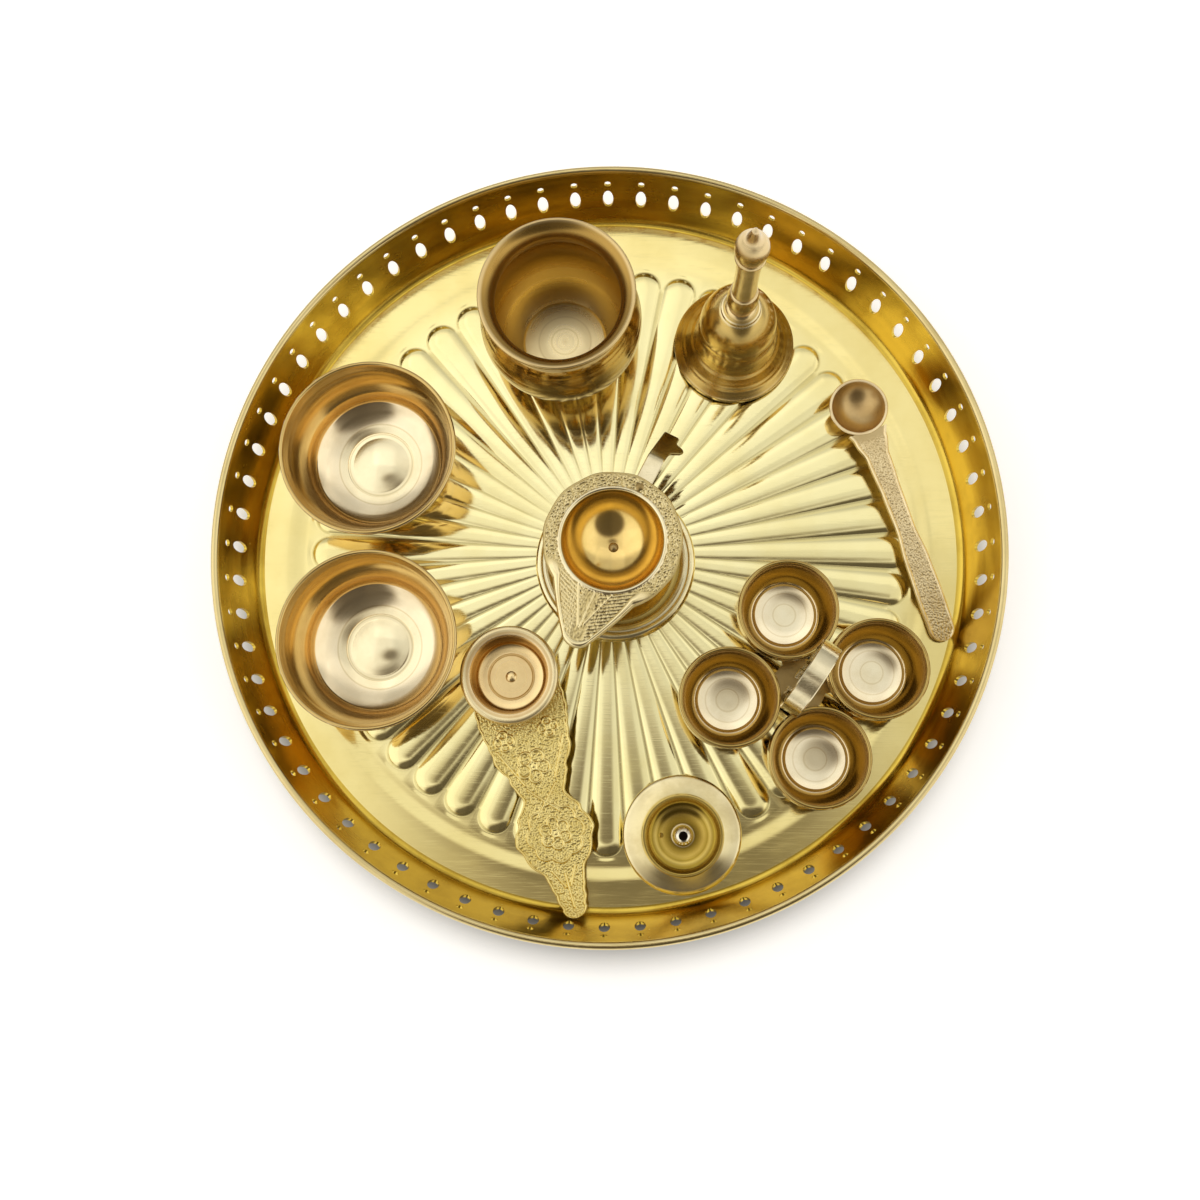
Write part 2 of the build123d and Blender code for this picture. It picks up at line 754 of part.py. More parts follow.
def incense_base():
    section = outline(
        (0, 0),
        (stand_foot_r, 0),
        (stand_foot_r, stand_foot_edge),
        ((stand_dome_r, stand_dome_z), (stand_neck_r, stand_neck_z)),
        (stand_dish_r, stand_dish_z - stand_dish_t),
        (stand_dish_r, stand_dish_z),
        (stand_dish_r - stand_dish_t, stand_dish_z),
        (
            ((stand_dish_r + stand_boss_r) / 2, stand_dish_floor + stand_dish_depth / 4),
            (stand_boss_r, stand_dish_floor),
        ),
        (0, stand_dish_floor),
    )
    stud_end = stand_dish_floor - ball_stud_l - pin_gap
    stud_hole = cylinder_between(ball_stud_r + pin_gap, stud_end, stand_dish_z)
    side_hole = Pos(-stick_side_at, 0, 0) * cylinder_between(
        stick_side_r, stand_dish_floor - stick_side_depth, stand_dish_z
    )
    return stand_place * (turned(section) - stud_hole - side_hole)


def incense_ball():
    middle = ball_neck_h + sqrt(ball_r * ball_r - ball_neck_r * ball_neck_r)
    neck = cylinder_between(ball_neck_r, 0, middle)
    stud = cylinder_between(ball_stud_r, -ball_stud_l, ball_neck_h)
    top = middle + ball_r
    stick_hole = cylinder_between(stick_r, top - stick_depth, top + ball_r)
    body = neck + Pos(0, 0, middle) * Sphere(ball_r) + stud - stick_hole
    return stand_place * Pos(0, 0, stand_dish_floor) * body


def pieces():
    yield "thali_plate", thali_plate()
    yield "kalash", kalash()
    yield "bell_body", bell_body()
    yield "bell_handle", bell_handle()
    yield "bell_eye", bell_eye()
    yield "clapper_link", clapper_link()
    yield "clapper_rod", clapper_rod()
    yield "clapper_ball", clapper_ball()
    yield "spoon", spoon()
    for name, place in bowl_places.items():
        yield name, offering_bowl(*place)
    yield "burner_foot", burner_foot()
    yield "burner_handle", burner_handle()
    yield "burner_cup", burner_cup()
    yield "burner_rivet", burner_rivet()
    yield "lamp_pedestal", lamp_pedestal()
    yield "lamp_leaf", lamp_leaf()
    yield "lamp_screw", lamp_screw()
    yield "lamp_handle", lamp_handle()
    yield "lamp_handle_rivet", lamp_handle_rivet()
    for name, turn in zip(cup_names, cup_turns):
        yield name, small_cup(turn)
    yield "cup_frame", cup_frame()
    yield "cup_rivets", cup_rivets()
    yield "cup_handle", cup_handle()
    yield "cup_handle_rivets", cup_handle_rivets()
    yield "incense_base", incense_base()
    yield "incense_ball", incense_ball()


os.makedirs("parts", exist_ok=True)
for name, piece in pieces():
    export_step(piece, f"parts/{name}.step")
    print(name, round(piece.volume))
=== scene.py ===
import bpy
import bmesh
import math
import random
from math import asin, atan2, cos, hypot, pi, radians, sin, sqrt, tan
from mathutils import Matrix, Vector
from mathutils.kdtree import KDTree


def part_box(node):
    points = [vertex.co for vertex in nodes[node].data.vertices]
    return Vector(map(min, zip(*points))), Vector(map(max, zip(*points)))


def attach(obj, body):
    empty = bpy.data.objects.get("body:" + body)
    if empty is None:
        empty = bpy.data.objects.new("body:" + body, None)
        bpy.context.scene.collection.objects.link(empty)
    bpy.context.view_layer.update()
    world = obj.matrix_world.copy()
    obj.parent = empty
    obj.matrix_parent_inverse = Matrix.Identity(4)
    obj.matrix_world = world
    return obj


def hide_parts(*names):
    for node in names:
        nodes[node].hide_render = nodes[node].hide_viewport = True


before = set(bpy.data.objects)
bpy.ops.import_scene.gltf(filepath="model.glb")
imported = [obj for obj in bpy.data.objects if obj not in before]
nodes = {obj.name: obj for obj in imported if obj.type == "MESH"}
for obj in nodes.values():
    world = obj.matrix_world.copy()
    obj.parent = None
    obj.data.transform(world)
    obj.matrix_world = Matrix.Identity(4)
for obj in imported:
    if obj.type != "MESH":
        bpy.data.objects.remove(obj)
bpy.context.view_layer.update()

mm = 0.001
tau = 2 * pi
print("frame loaded", len(nodes), "nodes")


# Small tools of the bench, used by every piece

def opened(name):  # names the mesh just added and goes on in edit mode
    piece = bpy.context.object
    piece.name = piece.data.name = name
    bpy.ops.object.mode_set(mode="EDIT")
    return piece


def beginPoint(name):  # a new mesh of one point at the origin
    bpy.ops.object.select_all(action="DESELECT")
    bpy.ops.mesh.primitive_plane_add(size=mm)
    piece = opened(name)
    bpy.ops.mesh.select_mode(type="VERT")
    bpy.ops.mesh.select_all(action="SELECT")
    bpy.ops.mesh.merge(type="CENTER")
    return piece


def drawLine(points):  # from the one selected point, by extruding
    bpy.ops.transform.translate(value=points[0])
    for here, there in zip(points, points[1:]):
        step = [b - a for a, b in zip(here, there)]
        bpy.ops.mesh.extrude_region_move(TRANSFORM_OT_translate={"value": step})


def spun(steps, degrees, centre=(0, 0, 0), copies=False):  # what is selected, round an upright axis
    turn = -radians(degrees)
    bpy.ops.mesh.spin(steps=steps, angle=turn, center=centre, axis=(0, 0, 1), dupli=copies)


def weld(distance=0.002):
    bpy.ops.mesh.select_all(action="SELECT")
    bpy.ops.mesh.remove_doubles(threshold=distance * mm)


def chosen(piece, *others):  # selects these alone, with the first one active
    bpy.ops.object.select_all(action="DESELECT")
    for each in (piece, *others):
        each.select_set(True)
    bpy.context.view_layer.objects.active = piece


def endPiece(piece, angle=38):
    bpy.ops.object.mode_set(mode="OBJECT")
    chosen(piece)
    bpy.ops.object.shade_smooth_by_angle(angle=radians(angle))
    return piece


def applied(piece, kind, **values):
    bpy.context.view_layer.objects.active = piece
    modifier = piece.modifiers.new(kind.title(), kind)
    for key, value in values.items():
        setattr(modifier, key, value)
    bpy.ops.object.modifier_apply(modifier=modifier.name)


def copied(piece, name, shift):  # another one like it, with its own mesh
    chosen(piece)
    bpy.ops.object.duplicate()
    other = bpy.context.object
    other.name = other.data.name = name
    other.data.transform(Matrix.Translation(shift))
    return other


def pick(piece, test):  # selects the points that pass, and what lies between them
    bpy.ops.mesh.select_mode(type="VERT")
    bpy.ops.mesh.select_all(action="DESELECT")
    mesh = bmesh.from_edit_mesh(piece.data)
    for vert in mesh.verts:
        if test(vert.co):
            vert.select_set(True)
    mesh.select_flush(True)
    bmesh.update_edit_mesh(piece.data)


def pickEdges(piece, test):  # open edges of a sheet
    bpy.ops.mesh.select_mode(type="VERT")
    mesh = bmesh.from_edit_mesh(piece.data)
    for part in (*mesh.verts, *mesh.edges, *mesh.faces):
        part.select = False
    for edge in mesh.edges:
        a, b = edge.verts
        if edge.is_boundary and test(a.co, b.co):
            edge.select = a.select = b.select = True
    bmesh.update_edit_mesh(piece.data)


def pickFaces(piece, test):
    bpy.ops.mesh.select_mode(type="FACE")
    bpy.ops.mesh.select_all(action="DESELECT")
    mesh = bmesh.from_edit_mesh(piece.data)
    for face in mesh.faces:
        if test(face):
            face.select_set(True)
    bmesh.update_edit_mesh(piece.data)


def shapePicked(piece, move):  # each selected point goes where move sends it
    mesh = bmesh.from_edit_mesh(piece.data)
    for vert in mesh.verts:
        if vert.select:
            vert.co = move(vert.co)
    bmesh.update_edit_mesh(piece.data)


def grown(piece, move):  # extrudes what is selected, its new points go where move sends them
    bpy.ops.mesh.extrude_region_move()
    shapePicked(piece, move)


def polar(radius, degrees, height):
    turn = radians(degrees)
    return Vector((radius * cos(turn), radius * sin(turn), height)) * mm


def faceUp(piece):  # an open sheet: all its faces look up and inwards
    bpy.ops.mesh.select_all(action="SELECT")
    bpy.ops.mesh.normals_make_consistent(inside=False)
    mesh = bmesh.from_edit_mesh(piece.data)
    if sum(face.normal.z * face.calc_area() for face in mesh.faces) < 0:
        bpy.ops.mesh.flip_normals()


def lofted(name, rings):  # closed loops of the same count, joined in turn, with both ends filled
    bpy.ops.object.select_all(action="DESELECT")
    bpy.ops.mesh.primitive_circle_add(vertices=len(rings[0]), radius=mm)
    piece = opened(name)
    mesh = bmesh.from_edit_mesh(piece.data)
    mesh.verts.ensure_lookup_table()
    for vert, place in zip(mesh.verts, rings[0]):
        vert.co = place
    bmesh.update_edit_mesh(piece.data)
    bpy.ops.mesh.select_all(action="SELECT")
    bpy.ops.mesh.edge_face_add()
    pickEdges(piece, lambda a, b: True)
    for old, new in zip(rings, rings[1:]):
        tree = KDTree(len(old))
        for index, place in enumerate(old):
            tree.insert(place, index)
        tree.balance()
        grown(piece, lambda co: new[tree.find(co)[1]])
    bpy.ops.mesh.edge_face_add()
    bpy.ops.mesh.select_mode(type="VERT")
    weld()
    bpy.ops.mesh.normals_make_consistent(inside=False)
    return endPiece(piece)


# Half sections of turned pieces: radius and height in millimetres

def arcPoints(centre, radius, start, sweep, count):
    turns = [start + sweep * i / count for i in range(1, count + 1)]
    return [(centre[0] + radius * cos(t), centre[1] + radius * sin(t)) for t in turns]


def arcThrough(a, b, c, count):  # points after a, through b, to c
    ax, ay = b[0] - a[0], b[1] - a[1]
    bx, by = c[0] - a[0], c[1] - a[1]
    cross = 2 * (ax * by - ay * bx)
    ux = (by * (ax * ax + ay * ay) - ay * (bx * bx + by * by)) / cross
    uy = (ax * (bx * bx + by * by) - bx * (ax * ax + ay * ay)) / cross
    centre = (a[0] + ux, a[1] + uy)
    radius = hypot(ux, uy)
    start, middle, end = (atan2(y - centre[1], x - centre[0]) for x, y in (a, b, c))
    sweep = (end - start) % tau
    if (middle - start) % tau > sweep:
        sweep -= tau
    return arcPoints(centre, radius, start, sweep, count)


def arcOn(path, end, count):  # goes on from the path's last run, tangent to it
    (x0, y0), (x1, y1) = path[-2], path[-1]
    length = hypot(x1 - x0, y1 - y0)
    nx, ny = -(y1 - y0) / length, (x1 - x0) / length
    dx, dy = end[0] - x1, end[1] - y1
    side = nx * dx + ny * dy
    reach = (dx * dx + dy * dy) / (2 * side)
    centre = (x1 + nx * reach, y1 + ny * reach)
    start, stop = (atan2(y - centre[1], x - centre[0]) for x, y in (path[-1], end))
    sweep = (stop - start + pi) % tau - pi
    return arcPoints(centre, abs(reach), start, sweep, count)


def leftOf(path, gap):  # the same path, set off to its left
    out = []
    for i, (x, y) in enumerate(path):
        (ax, ay), (bx, by) = path[max(i - 1, 0)], path[min(i + 1, len(path) - 1)]
        length = hypot(bx - ax, by - ay)
        out.append((x - gap * (by - ay) / length, y + gap * (bx - ax) / length))
    return out


def ringed(path, rings):  # turned grooves (minus) and beads (plus): height, depth, half width
    out = []
    for x, y in path:
        swell = 0
        for height, depth, half in rings:
            away = abs(y - height) / half
            if away < 1:
                swell += depth * (1 - away * away)
        out.append((x + swell, y))
    return out


def vesselSection(outer, wall, bead, rings=(), inside=()):
    inner = leftOf(outer, wall)
    inner[0] = (0, inner[0][1])
    (ax, ay), (bx, by) = outer[-1], inner[-1]
    middle = ((ax + bx) / 2, (ay + by) / 2)
    out = atan2(ay - middle[1], ax - middle[0])
    beadStep = pi / 10
    rim = arcPoints(middle, bead, out - beadStep, pi + beadStep, 11)
    return ringed(outer[:-1], rings) + rim + ringed(inner[:-1], inside)[::-1]


def turned(name, section, centre, steps):
    piece = beginPoint(name)
    drawLine([(centre[0] + x * mm, centre[1], centre[2] + y * mm) for x, y in section])
    bpy.ops.mesh.select_all(action="SELECT")
    spun(steps, 360, centre)
    weld()
    bpy.ops.mesh.normals_make_consistent(inside=False)
    return endPiece(piece)


def seatOf(node, level=None):  # middle of a node's underside, or above it at a level
    low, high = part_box(node)
    level = low.z if level is None else level
    return Vector(((low.x + high.x) / 2, (low.y + high.y) / 2, level))


def placed(piece, place, degrees):  # from a piece's own axes to where it lies, in the mesh
    piece.data.transform(Matrix.Translation(place) @ Matrix.Rotation(radians(degrees), 4, "Z"))
    return piece


# Shares and heights for the ornament

def smoothStep(low, high, value):
    share = min(max((value - low) / (high - low), 0), 1)
    return share * share * (3 - 2 * share)


def ridge(away, half):  # round raised line: 1 on its middle, 0 at half a width
    return max(0, 1 - (away / half) ** 2) ** 0.5 if away < half else 0


def between(table, at):  # smooth value between named stations
    for (a, va), (b, vb) in zip(table, table[1:]):
        if at <= b:
            return va + (vb - va) * smoothStep(a, b, at)
    return table[-1][1]


random.seed(41)
grains = [(random.random(), random.random()) for i in range(4096)]
grainStride = (73, 179)  # so that neighbouring cells take other grains


def stipple(x, y, cell, size=0.45):  # round grains of a stippled ground, 0 to 1
    best = 9
    column, row = math.floor(x / cell), math.floor(y / cell)
    for i in range(column - 1, column + 2):
        for j in range(row - 1, row + 2):
            gx, gy = grains[(i * grainStride[0] + j * grainStride[1]) % len(grains)]
            dx, dy = (i + gx) * cell - x, (j + gy) * cell - y
            best = min(best, dx * dx + dy * dy)
    return max(0, 1 - best / (size * cell * cell))


def nearLine(x, y, line):  # distance from a straight run
    (ax, ay), (bx, by) = line
    dx, dy = bx - ax, by - ay
    share = min(max(((x - ax) * dx + (y - ay) * dy) / (dx * dx + dy * dy), 0), 1)
    return hypot(x - ax - dx * share, y - ay - dy * share)


def markPoints(piece, label, valueAt):  # keeps a value at each point, for its finish
    layer = piece.data.attributes.new(label, "FLOAT", "POINT")
    for vert in piece.data.vertices:
        layer.data[vert.index].value = valueAt(vert)


# The plate: fluted floor, then the pierced wall with its rolled lip

plateSizes = {
    "sheet": 1.2,
    "fluteCount": 48,
    "fluteInnerR": 24.0,
    "fluteOuterR": 120.0,
    "fluteW": 13.0,
    "fluteRise": 0.95,
    "fluteFlat": 3.0,         # 2 is a plain round, more is flatter on top
    "acrossHalf": 8,          # runs of the mesh from a flute's crest to its edge
    "narrowings": 8,          # steps of a flute towards the plate's middle
    "collar": (0.35, 0.9),    # width of the ring round a flute's outer end: at its sides, more at its tip
    "dip": 0.14,              # of the sheet in that ring
    "floorInR": 22.6,
    "middleRings": (16, 8, 2),
    "floorOutR": 121.6,
    "stepRings": (122.6, 123.5, 124.6, 125.8, 127.0, 128.2, 129.4, 130.5, 134.0),
    "stepFrom": 123.5,
    "stepTo": 130.5,
    "stepRise": 0.6,
    "seamR": 139.5,
    "wallFootR": 143.0,
    "wallRun": 8.0,
    "wallClimb": 27.9,
    "bendR": 2.8,
    "holePairs": 68,
    "perHole": 12,            # runs of the mesh across one pair of holes
    "ovalRow": 1.8,
    "dotRow": 1.05,
    "plainRows": (5.0, 7.0, 26.2, 27.6),
    "ovalUp": 14.2,
    "ovalHalfH": 4.6,
    "ovalHalfW": 2.15,
    "dotUp": 22.6,
    "dotR": 1.35,
    "lipR": 150.99,
    "lipZ": 28.5,
    "lipBead": 1.5,
}


def makePlateFloor():
    p = plateSizes
    top = p["sheet"]
    half = p["fluteW"] / 2
    endR = p["fluteOuterR"] - half
    runs = p["acrossHalf"]
    sector = 360 / p["fluteCount"]
    column = sector / (2 * runs + 1)
    piece = beginPoint("plateFloor")
    section = []
    for i in range(runs + 1):
        share = 1 - (1 - i / runs) ** 1.5
        height = top + p["fluteRise"] * (1 - share ** p["fluteFlat"])
        section.append((endR * mm, -half * share * mm, height * mm))
    drawLine(section)
    bpy.ops.mesh.select_all(action="SELECT")
    spun(2 * runs, 180, (endR * mm, 0, 0))
    weld()
    share = p["fluteInnerR"] / (endR - half)
    near = 1e-5
    pick(piece, lambda co: abs(co.x - endR * mm) < near)
    reached = 1
    for i in range(1, p["narrowings"] + 1):  # the flute narrows towards the plate's middle
        goal = 1 + (share - 1) * i / p["narrowings"]
        bpy.ops.mesh.extrude_region_move()
        size = goal / reached
        bpy.ops.transform.resize(value=(size, size, size * size), center_override=(0, 0, top * mm))
        reached = goal
    innerR = endR * share
    pick(piece, lambda co: abs(co.x - innerR * mm) < near and co.y < near)
    spun(2 * runs, -180, (innerR * mm, 0, 0))
    weld()

    def low(co):
        return abs(co.z - top * mm) < near

    def ringPlace(co, middle, outward, radius):
        turn = math.degrees(atan2(co.y, outward * (co.x - middle * mm)))
        return polar(radius, round(turn / 90 * runs) * column, top)

    def dipPlace(co):
        turn = atan2(co.y, co.x - endR * mm)
        away = half + p["collar"][0] + p["collar"][1] * cos(turn)
        x, y = endR + away * cos(turn), away * sin(turn)
        return Vector((x, y, top - p["dip"] * max(cos(turn), 0))) * mm

    pickEdges(piece, lambda a, b: low(a) and low(b) and min(a.x, b.x) > (endR - 0.01) * mm)
    grown(piece, dipPlace)
    grown(piece, lambda co: ringPlace(co, endR, 1, p["floorOutR"]))
    pickEdges(piece, lambda a, b: low(a) and low(b) and max(a.x, b.x) < (innerR + 0.001) * mm)
    grown(piece, lambda co: ringPlace(co, innerR, -1, p["floorInR"]))

    def onRing(co):
        away = hypot(co.x, co.y) / mm
        return abs(away - p["floorOutR"]) < 0.01 or abs(away - p["floorInR"]) < 0.01

    def side(a, b):
        return min(a.y, b.y) > 1e-6 and not (onRing(a) and onRing(b) and abs(a.x - b.x) < 0.01)

    def nextFlute(co):
        turn = sector - math.degrees(atan2(co.y, co.x))
        return polar(hypot(co.x, co.y) / mm, turn, top)

    pickEdges(piece, side)  # the valley to the next flute
    grown(piece, nextFlute)
    bpy.ops.mesh.select_all(action="SELECT")
    others = p["fluteCount"] - 1
    spun(others, 360 * others / p["fluteCount"], copies=True)
    weld(0.01)
    outward = (*p["stepRings"], p["seamR"])
    for first, radii in ((p["floorInR"], p["middleRings"]), (p["floorOutR"], outward)):
        pickEdges(piece, lambda a, b: abs(hypot(a.x, a.y) / mm - first) < 1)
        reached, level = first, 0
        for radius in radii:
            bpy.ops.mesh.extrude_region_move()
            size = radius / reached
            bpy.ops.transform.resize(value=(size, size, 1), center_override=(0, 0, top * mm))
            rise = p["stepRise"] * smoothStep(p["stepFrom"], p["stepTo"], radius)
            bpy.ops.transform.translate(value=(0, 0, (rise - level) * mm))
            reached, level = radius, rise
        if radii[-1] < first:
            bpy.ops.mesh.merge(type="CENTER")
    faceUp(piece)
    endPiece(piece, 60)
    applied(piece, "SOLIDIFY", thickness=(top - p["dip"] - 0.01) * mm, offset=-1)
    return endPiece(piece, 60)


def wallPoint(up):  # on the inner side of the wall, up from its foot along the slant
    p = plateSizes
    slant = hypot(p["wallRun"], p["wallClimb"])
    along = (p["wallRun"] / slant, p["wallClimb"] / slant)
    x = p["wallFootR"] + along[0] * up - along[1] * p["sheet"]
    return x, p["stepRise"] + along[1] * up + along[0] * p["sheet"]


def makePlateWall():
    p = plateSizes
    high = p["sheet"] + p["stepRise"]
    half = 180 / p["holePairs"]
    slant = hypot(p["wallRun"], p["wallClimb"])
    turn = atan2(p["wallClimb"], p["wallRun"])
    corner = wallPoint((high - wallPoint(0)[1]) / (p["wallClimb"] / slant))
    start = corner[0] - p["bendR"] * tan(turn / 2)
    section = [(p["seamR"], high)]
    for i in range(7):
        bend = turn * i / 6
        x = start + p["bendR"] * sin(bend)
        section.append((x, high + p["bendR"] * (1 - cos(bend))))
    ovalRows = [p["ovalUp"] + p["ovalRow"] * i for i in range(-3, 4)]
    dotRows = [p["dotUp"] + p["dotRow"] * i for i in range(-2, 3)]
    section += [wallPoint(up) for up in sorted([*p["plainRows"], *ovalRows, *dotRows, slant])]
    piece = beginPoint("plateWall")
    drawLine([tuple(polar(x, -half, y)) for x, y in section])
    bpy.ops.mesh.select_all(action="SELECT")
    spun(p["perHole"], 2 * half)
    weld()

    def across(co):  # along the wall from the middle of the holes, and up the slant
        up = (co.z / mm - wallPoint(0)[1]) * slant / p["wallClimb"]
        return atan2(co.y, co.x) * hypot(co.x, co.y) / mm, up

    def backOn(side, up):
        x, y = wallPoint(up)
        return polar(x, math.degrees(side / x), y)

    holes = (
        (3, ovalRows, p["ovalUp"], p["ovalHalfW"], p["ovalHalfH"]),
        (2, dotRows, p["dotUp"], p["dotR"], p["dotR"]),
    )
    for columns, rows, middle, halfW, halfH in holes:
        oneColumn = radians(2 * half / p["perHole"])

        def inHole(co):
            inside = abs(atan2(co.y, co.x)) < (columns + 0.3) * oneColumn
            return inside and rows[0] - 0.1 < across(co)[1] < rows[-1] + 0.1

        pickFaces(piece, lambda face: inHole(face.calc_center_median()))
        bpy.ops.mesh.delete(type="FACE")
        pickEdges(piece, lambda a, b: inHole(a) and inHole(b))
        bpy.ops.mesh.extrude_region_move()
        mesh = bmesh.from_edit_mesh(piece.data)
        rim = [v for v in mesh.verts if v.select]
        spanW = columns * oneColumn * wallPoint(middle)[0]
        spanH = rows[-1] - middle

        def around(vert):
            side, up = across(vert.co)
            return atan2((up - middle) / spanH, side / spanW)

        rim.sort(key=around)
        first = min(range(len(rim)), key=lambda i: abs(around(rim[i])))
        rim = rim[first:] + rim[:first]
        for i, vert in enumerate(rim):
            bend = tau * i / len(rim)
            vert.co = backOn(halfW * cos(bend), middle + halfH * sin(bend))
        bmesh.update_edit_mesh(piece.data)
    bpy.ops.mesh.select_all(action="SELECT")
    others = p["holePairs"] - 1
    spun(others, 360 * others / p["holePairs"], copies=True)
    weld(0.01)
    faceUp(piece)
    endPiece(piece, 50)
    applied(piece, "SOLIDIFY", thickness=p["sheet"] * mm, offset=-1)
    return endPiece(piece, 50)


def makePlateLip():
    p = plateSizes
    middle = (p["lipR"], p["lipZ"])
    start = [(p["lipR"] + p["lipBead"], p["lipZ"])]
    section = start + arcPoints(middle, p["lipBead"], 0, tau, 24)
    return turned("plateLip", section, (0, 0, 0), 4 * p["holePairs"])


# The turned vessels

potSizes = {"wall": 1.2, "bead": 0.8, "height": 52.5, "mouthR": 30.1, "floorR": 16.7, "floorZ": 2.0}


def makePot():
    p = potSizes
    outer = [(0, 0.8), (11, 0.8), (12.5, 0.1), (14.5, 0), (16.4, 0), (17, 0.3)]
    outer += arcThrough(outer[-1], (31.6, 22), (26.3, 42.5), 56)
    outer += arcOn(outer, (p["mouthR"] - p["bead"], p["height"] - p["bead"]), 14)
    rings = [(38.4, -0.35, 0.5), (36.6, -0.3, 0.5), (30.5, -0.2, 0.5), (42.6, -0.25, 0.6), (8, -0.2, 0.6)]
    section = vesselSection(outer, p["wall"], p["bead"], rings)
    for i, (x, y) in enumerate(section):
        if i > len(outer) and x < p["floorR"] and y < 2 * p["floorZ"]:
            section[i] = (x, p["floorZ"])
    seat = seatOf("kalash")
    piece = turned("pot", section, seat, 144)

    def innerAt(vert):  # tells the hollow from the outside
        away = Vector((vert.co.x - seat.x, vert.co.y - seat.y, 0)).normalized()
        return float(vert.normal.z - vert.normal.dot(away) > 0.2)

    markPoints(piece, "inner", innerAt)
    return piece


bowlSizes = {"wall": 1.3, "bead": 0.9, "height": 28.0, "rimR": 35.3}


def makeBowl(name, seat):
    p = bowlSizes
    outer = [(0, 0.7), (9.5, 0.7), (10.8, 0.05), (12, 0), (13.6, 0), (14, 0.3)]
    outer += arcThrough(outer[-1], (20.2, 1.9), (25.9, 5.1), 22) + [(26.6, 5.8), (27.1, 6.8), (27.4, 8.0)]
    outer += arcOn(outer, (p["rimR"] - p["bead"], p["height"] - p["bead"]), 16)
    rings = [(12.6, -0.35, 0.6), (14.6, -0.2, 0.5), (24.6, -0.18, 0.5)]
    inside = [(12.6, -0.12, 0.8), (25.2, -0.15, 0.5)]
    section = vesselSection(outer, p["wall"], p["bead"] * 0.95, rings, inside)
    return turned(name, section, seat, 144)


cupSizes = {"wall": 1.2, "bead": 0.75, "height": 18.0, "rimR": 19.9, "floorR": 12.4, "dish": 1.0}


def makeCup(name, seat):
    p = cupSizes
    outer = [(x, 0.05) for x in (0, 2, 4, 6, 8, 9.5, 10.6, 11.5)] + [(12.8, 0), (13.6, 0.25)]
    lip = (p["rimR"] - p["bead"], p["height"] - p["bead"])
    outer += arcThrough(outer[-1], (17.7, 5.5), lip, 24)
    rings = [(14.8, -0.2, 0.5), (12.9, -0.15, 0.5)]
    section = vesselSection(outer, p["wall"], p["bead"], rings, [(15.4, -0.15, 0.6)])
    for i, (x, y) in enumerate(section):
        if i > len(outer) and x < p["floorR"] and y < 2 * p["wall"]:
            section[i] = (x, y + p["dish"] * (x / p["floorR"]) ** 4)
    return turned(name, section, seat, 112)


bellSizes = {"wall": 2.0, "crownZ": 40.0}


def makeBell():
    outer = [(24.3, 0.25), (24.3, 1.9), (24.1, 2.3), (23.6, 2.6)]
    outer += arcThrough((24.3, 2.4), (17.6, 9.5), (14.8, 23), 40)[3:]
    outer += arcThrough((14.8, 23), (13.4, 33), (7.7, 40), 24)
    rings = [(4.6, -0.25, 0.5), (6.0, -0.2, 0.5), (9.5, 0.45, 0.7), (11.2, -0.25, 0.5), (22.9, 0.5, 0.8)]
    rings += [(24.6, -0.2, 0.5), (21.0, -0.2, 0.5)]
    inner = leftOf(outer, bellSizes["wall"])
    body = ringed(outer, rings)
    section = [(0, bellSizes["crownZ"])] + body[::-1] + [(24.0, 0), (22.7, 0)] + inner[2:-2]
    section += [(0, bellSizes["crownZ"] - bellSizes["wall"])]
    return turned("bell", section, seatOf("bell_body"), 128)


def makeBellGrip():
    path = [(0, 0), (7.2, 0), (7.6, 0.3), (7.7, 0.9), (7.4, 1.6), (6.6, 1.9), (6.0, 2.1), (6.1, 2.7)]
    path += [(5.6, 3.3), (4.9, 3.7), (4.7, 4.5), (4.9, 5.0)]
    path += arcThrough((4.9, 5.2), (6.0, 10.5), (4.9, 15.6), 14)
    path += [(5.2, 16.0), (5.3, 16.6), (5.0, 17.1), (4.6, 17.4)]
    path += arcThrough((4.6, 17.8), (4.35, 31), (4.7, 45.2), 16)
    path += [(5.2, 45.6), (5.5, 46.3), (5.3, 47.0), (4.8, 47.4), (4.7, 47.9)]
    path += arcThrough((4.7, 48.1), (6.1, 52.6), (3.3, 60.2), 18)
    path += [(2.6, 61.6), (2.1, 63.0), (1.7, 64.4), (1.35, 65.8), (1.0, 66.8), (0.5, 67.4), (0, 67.5)]
    return turned("bellGrip", path, seatOf("bell_body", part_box("bell_body")[1].z), 64)


standSizes = {"dishZ": 10.8, "ballR": 4.0, "neckR": 2.9, "holeR": 1.6, "holeDepth": 6.5,
              "drillX": -8.2, "drillZ": 11.0, "drillR": 1.0, "drillDepth": 6.0}


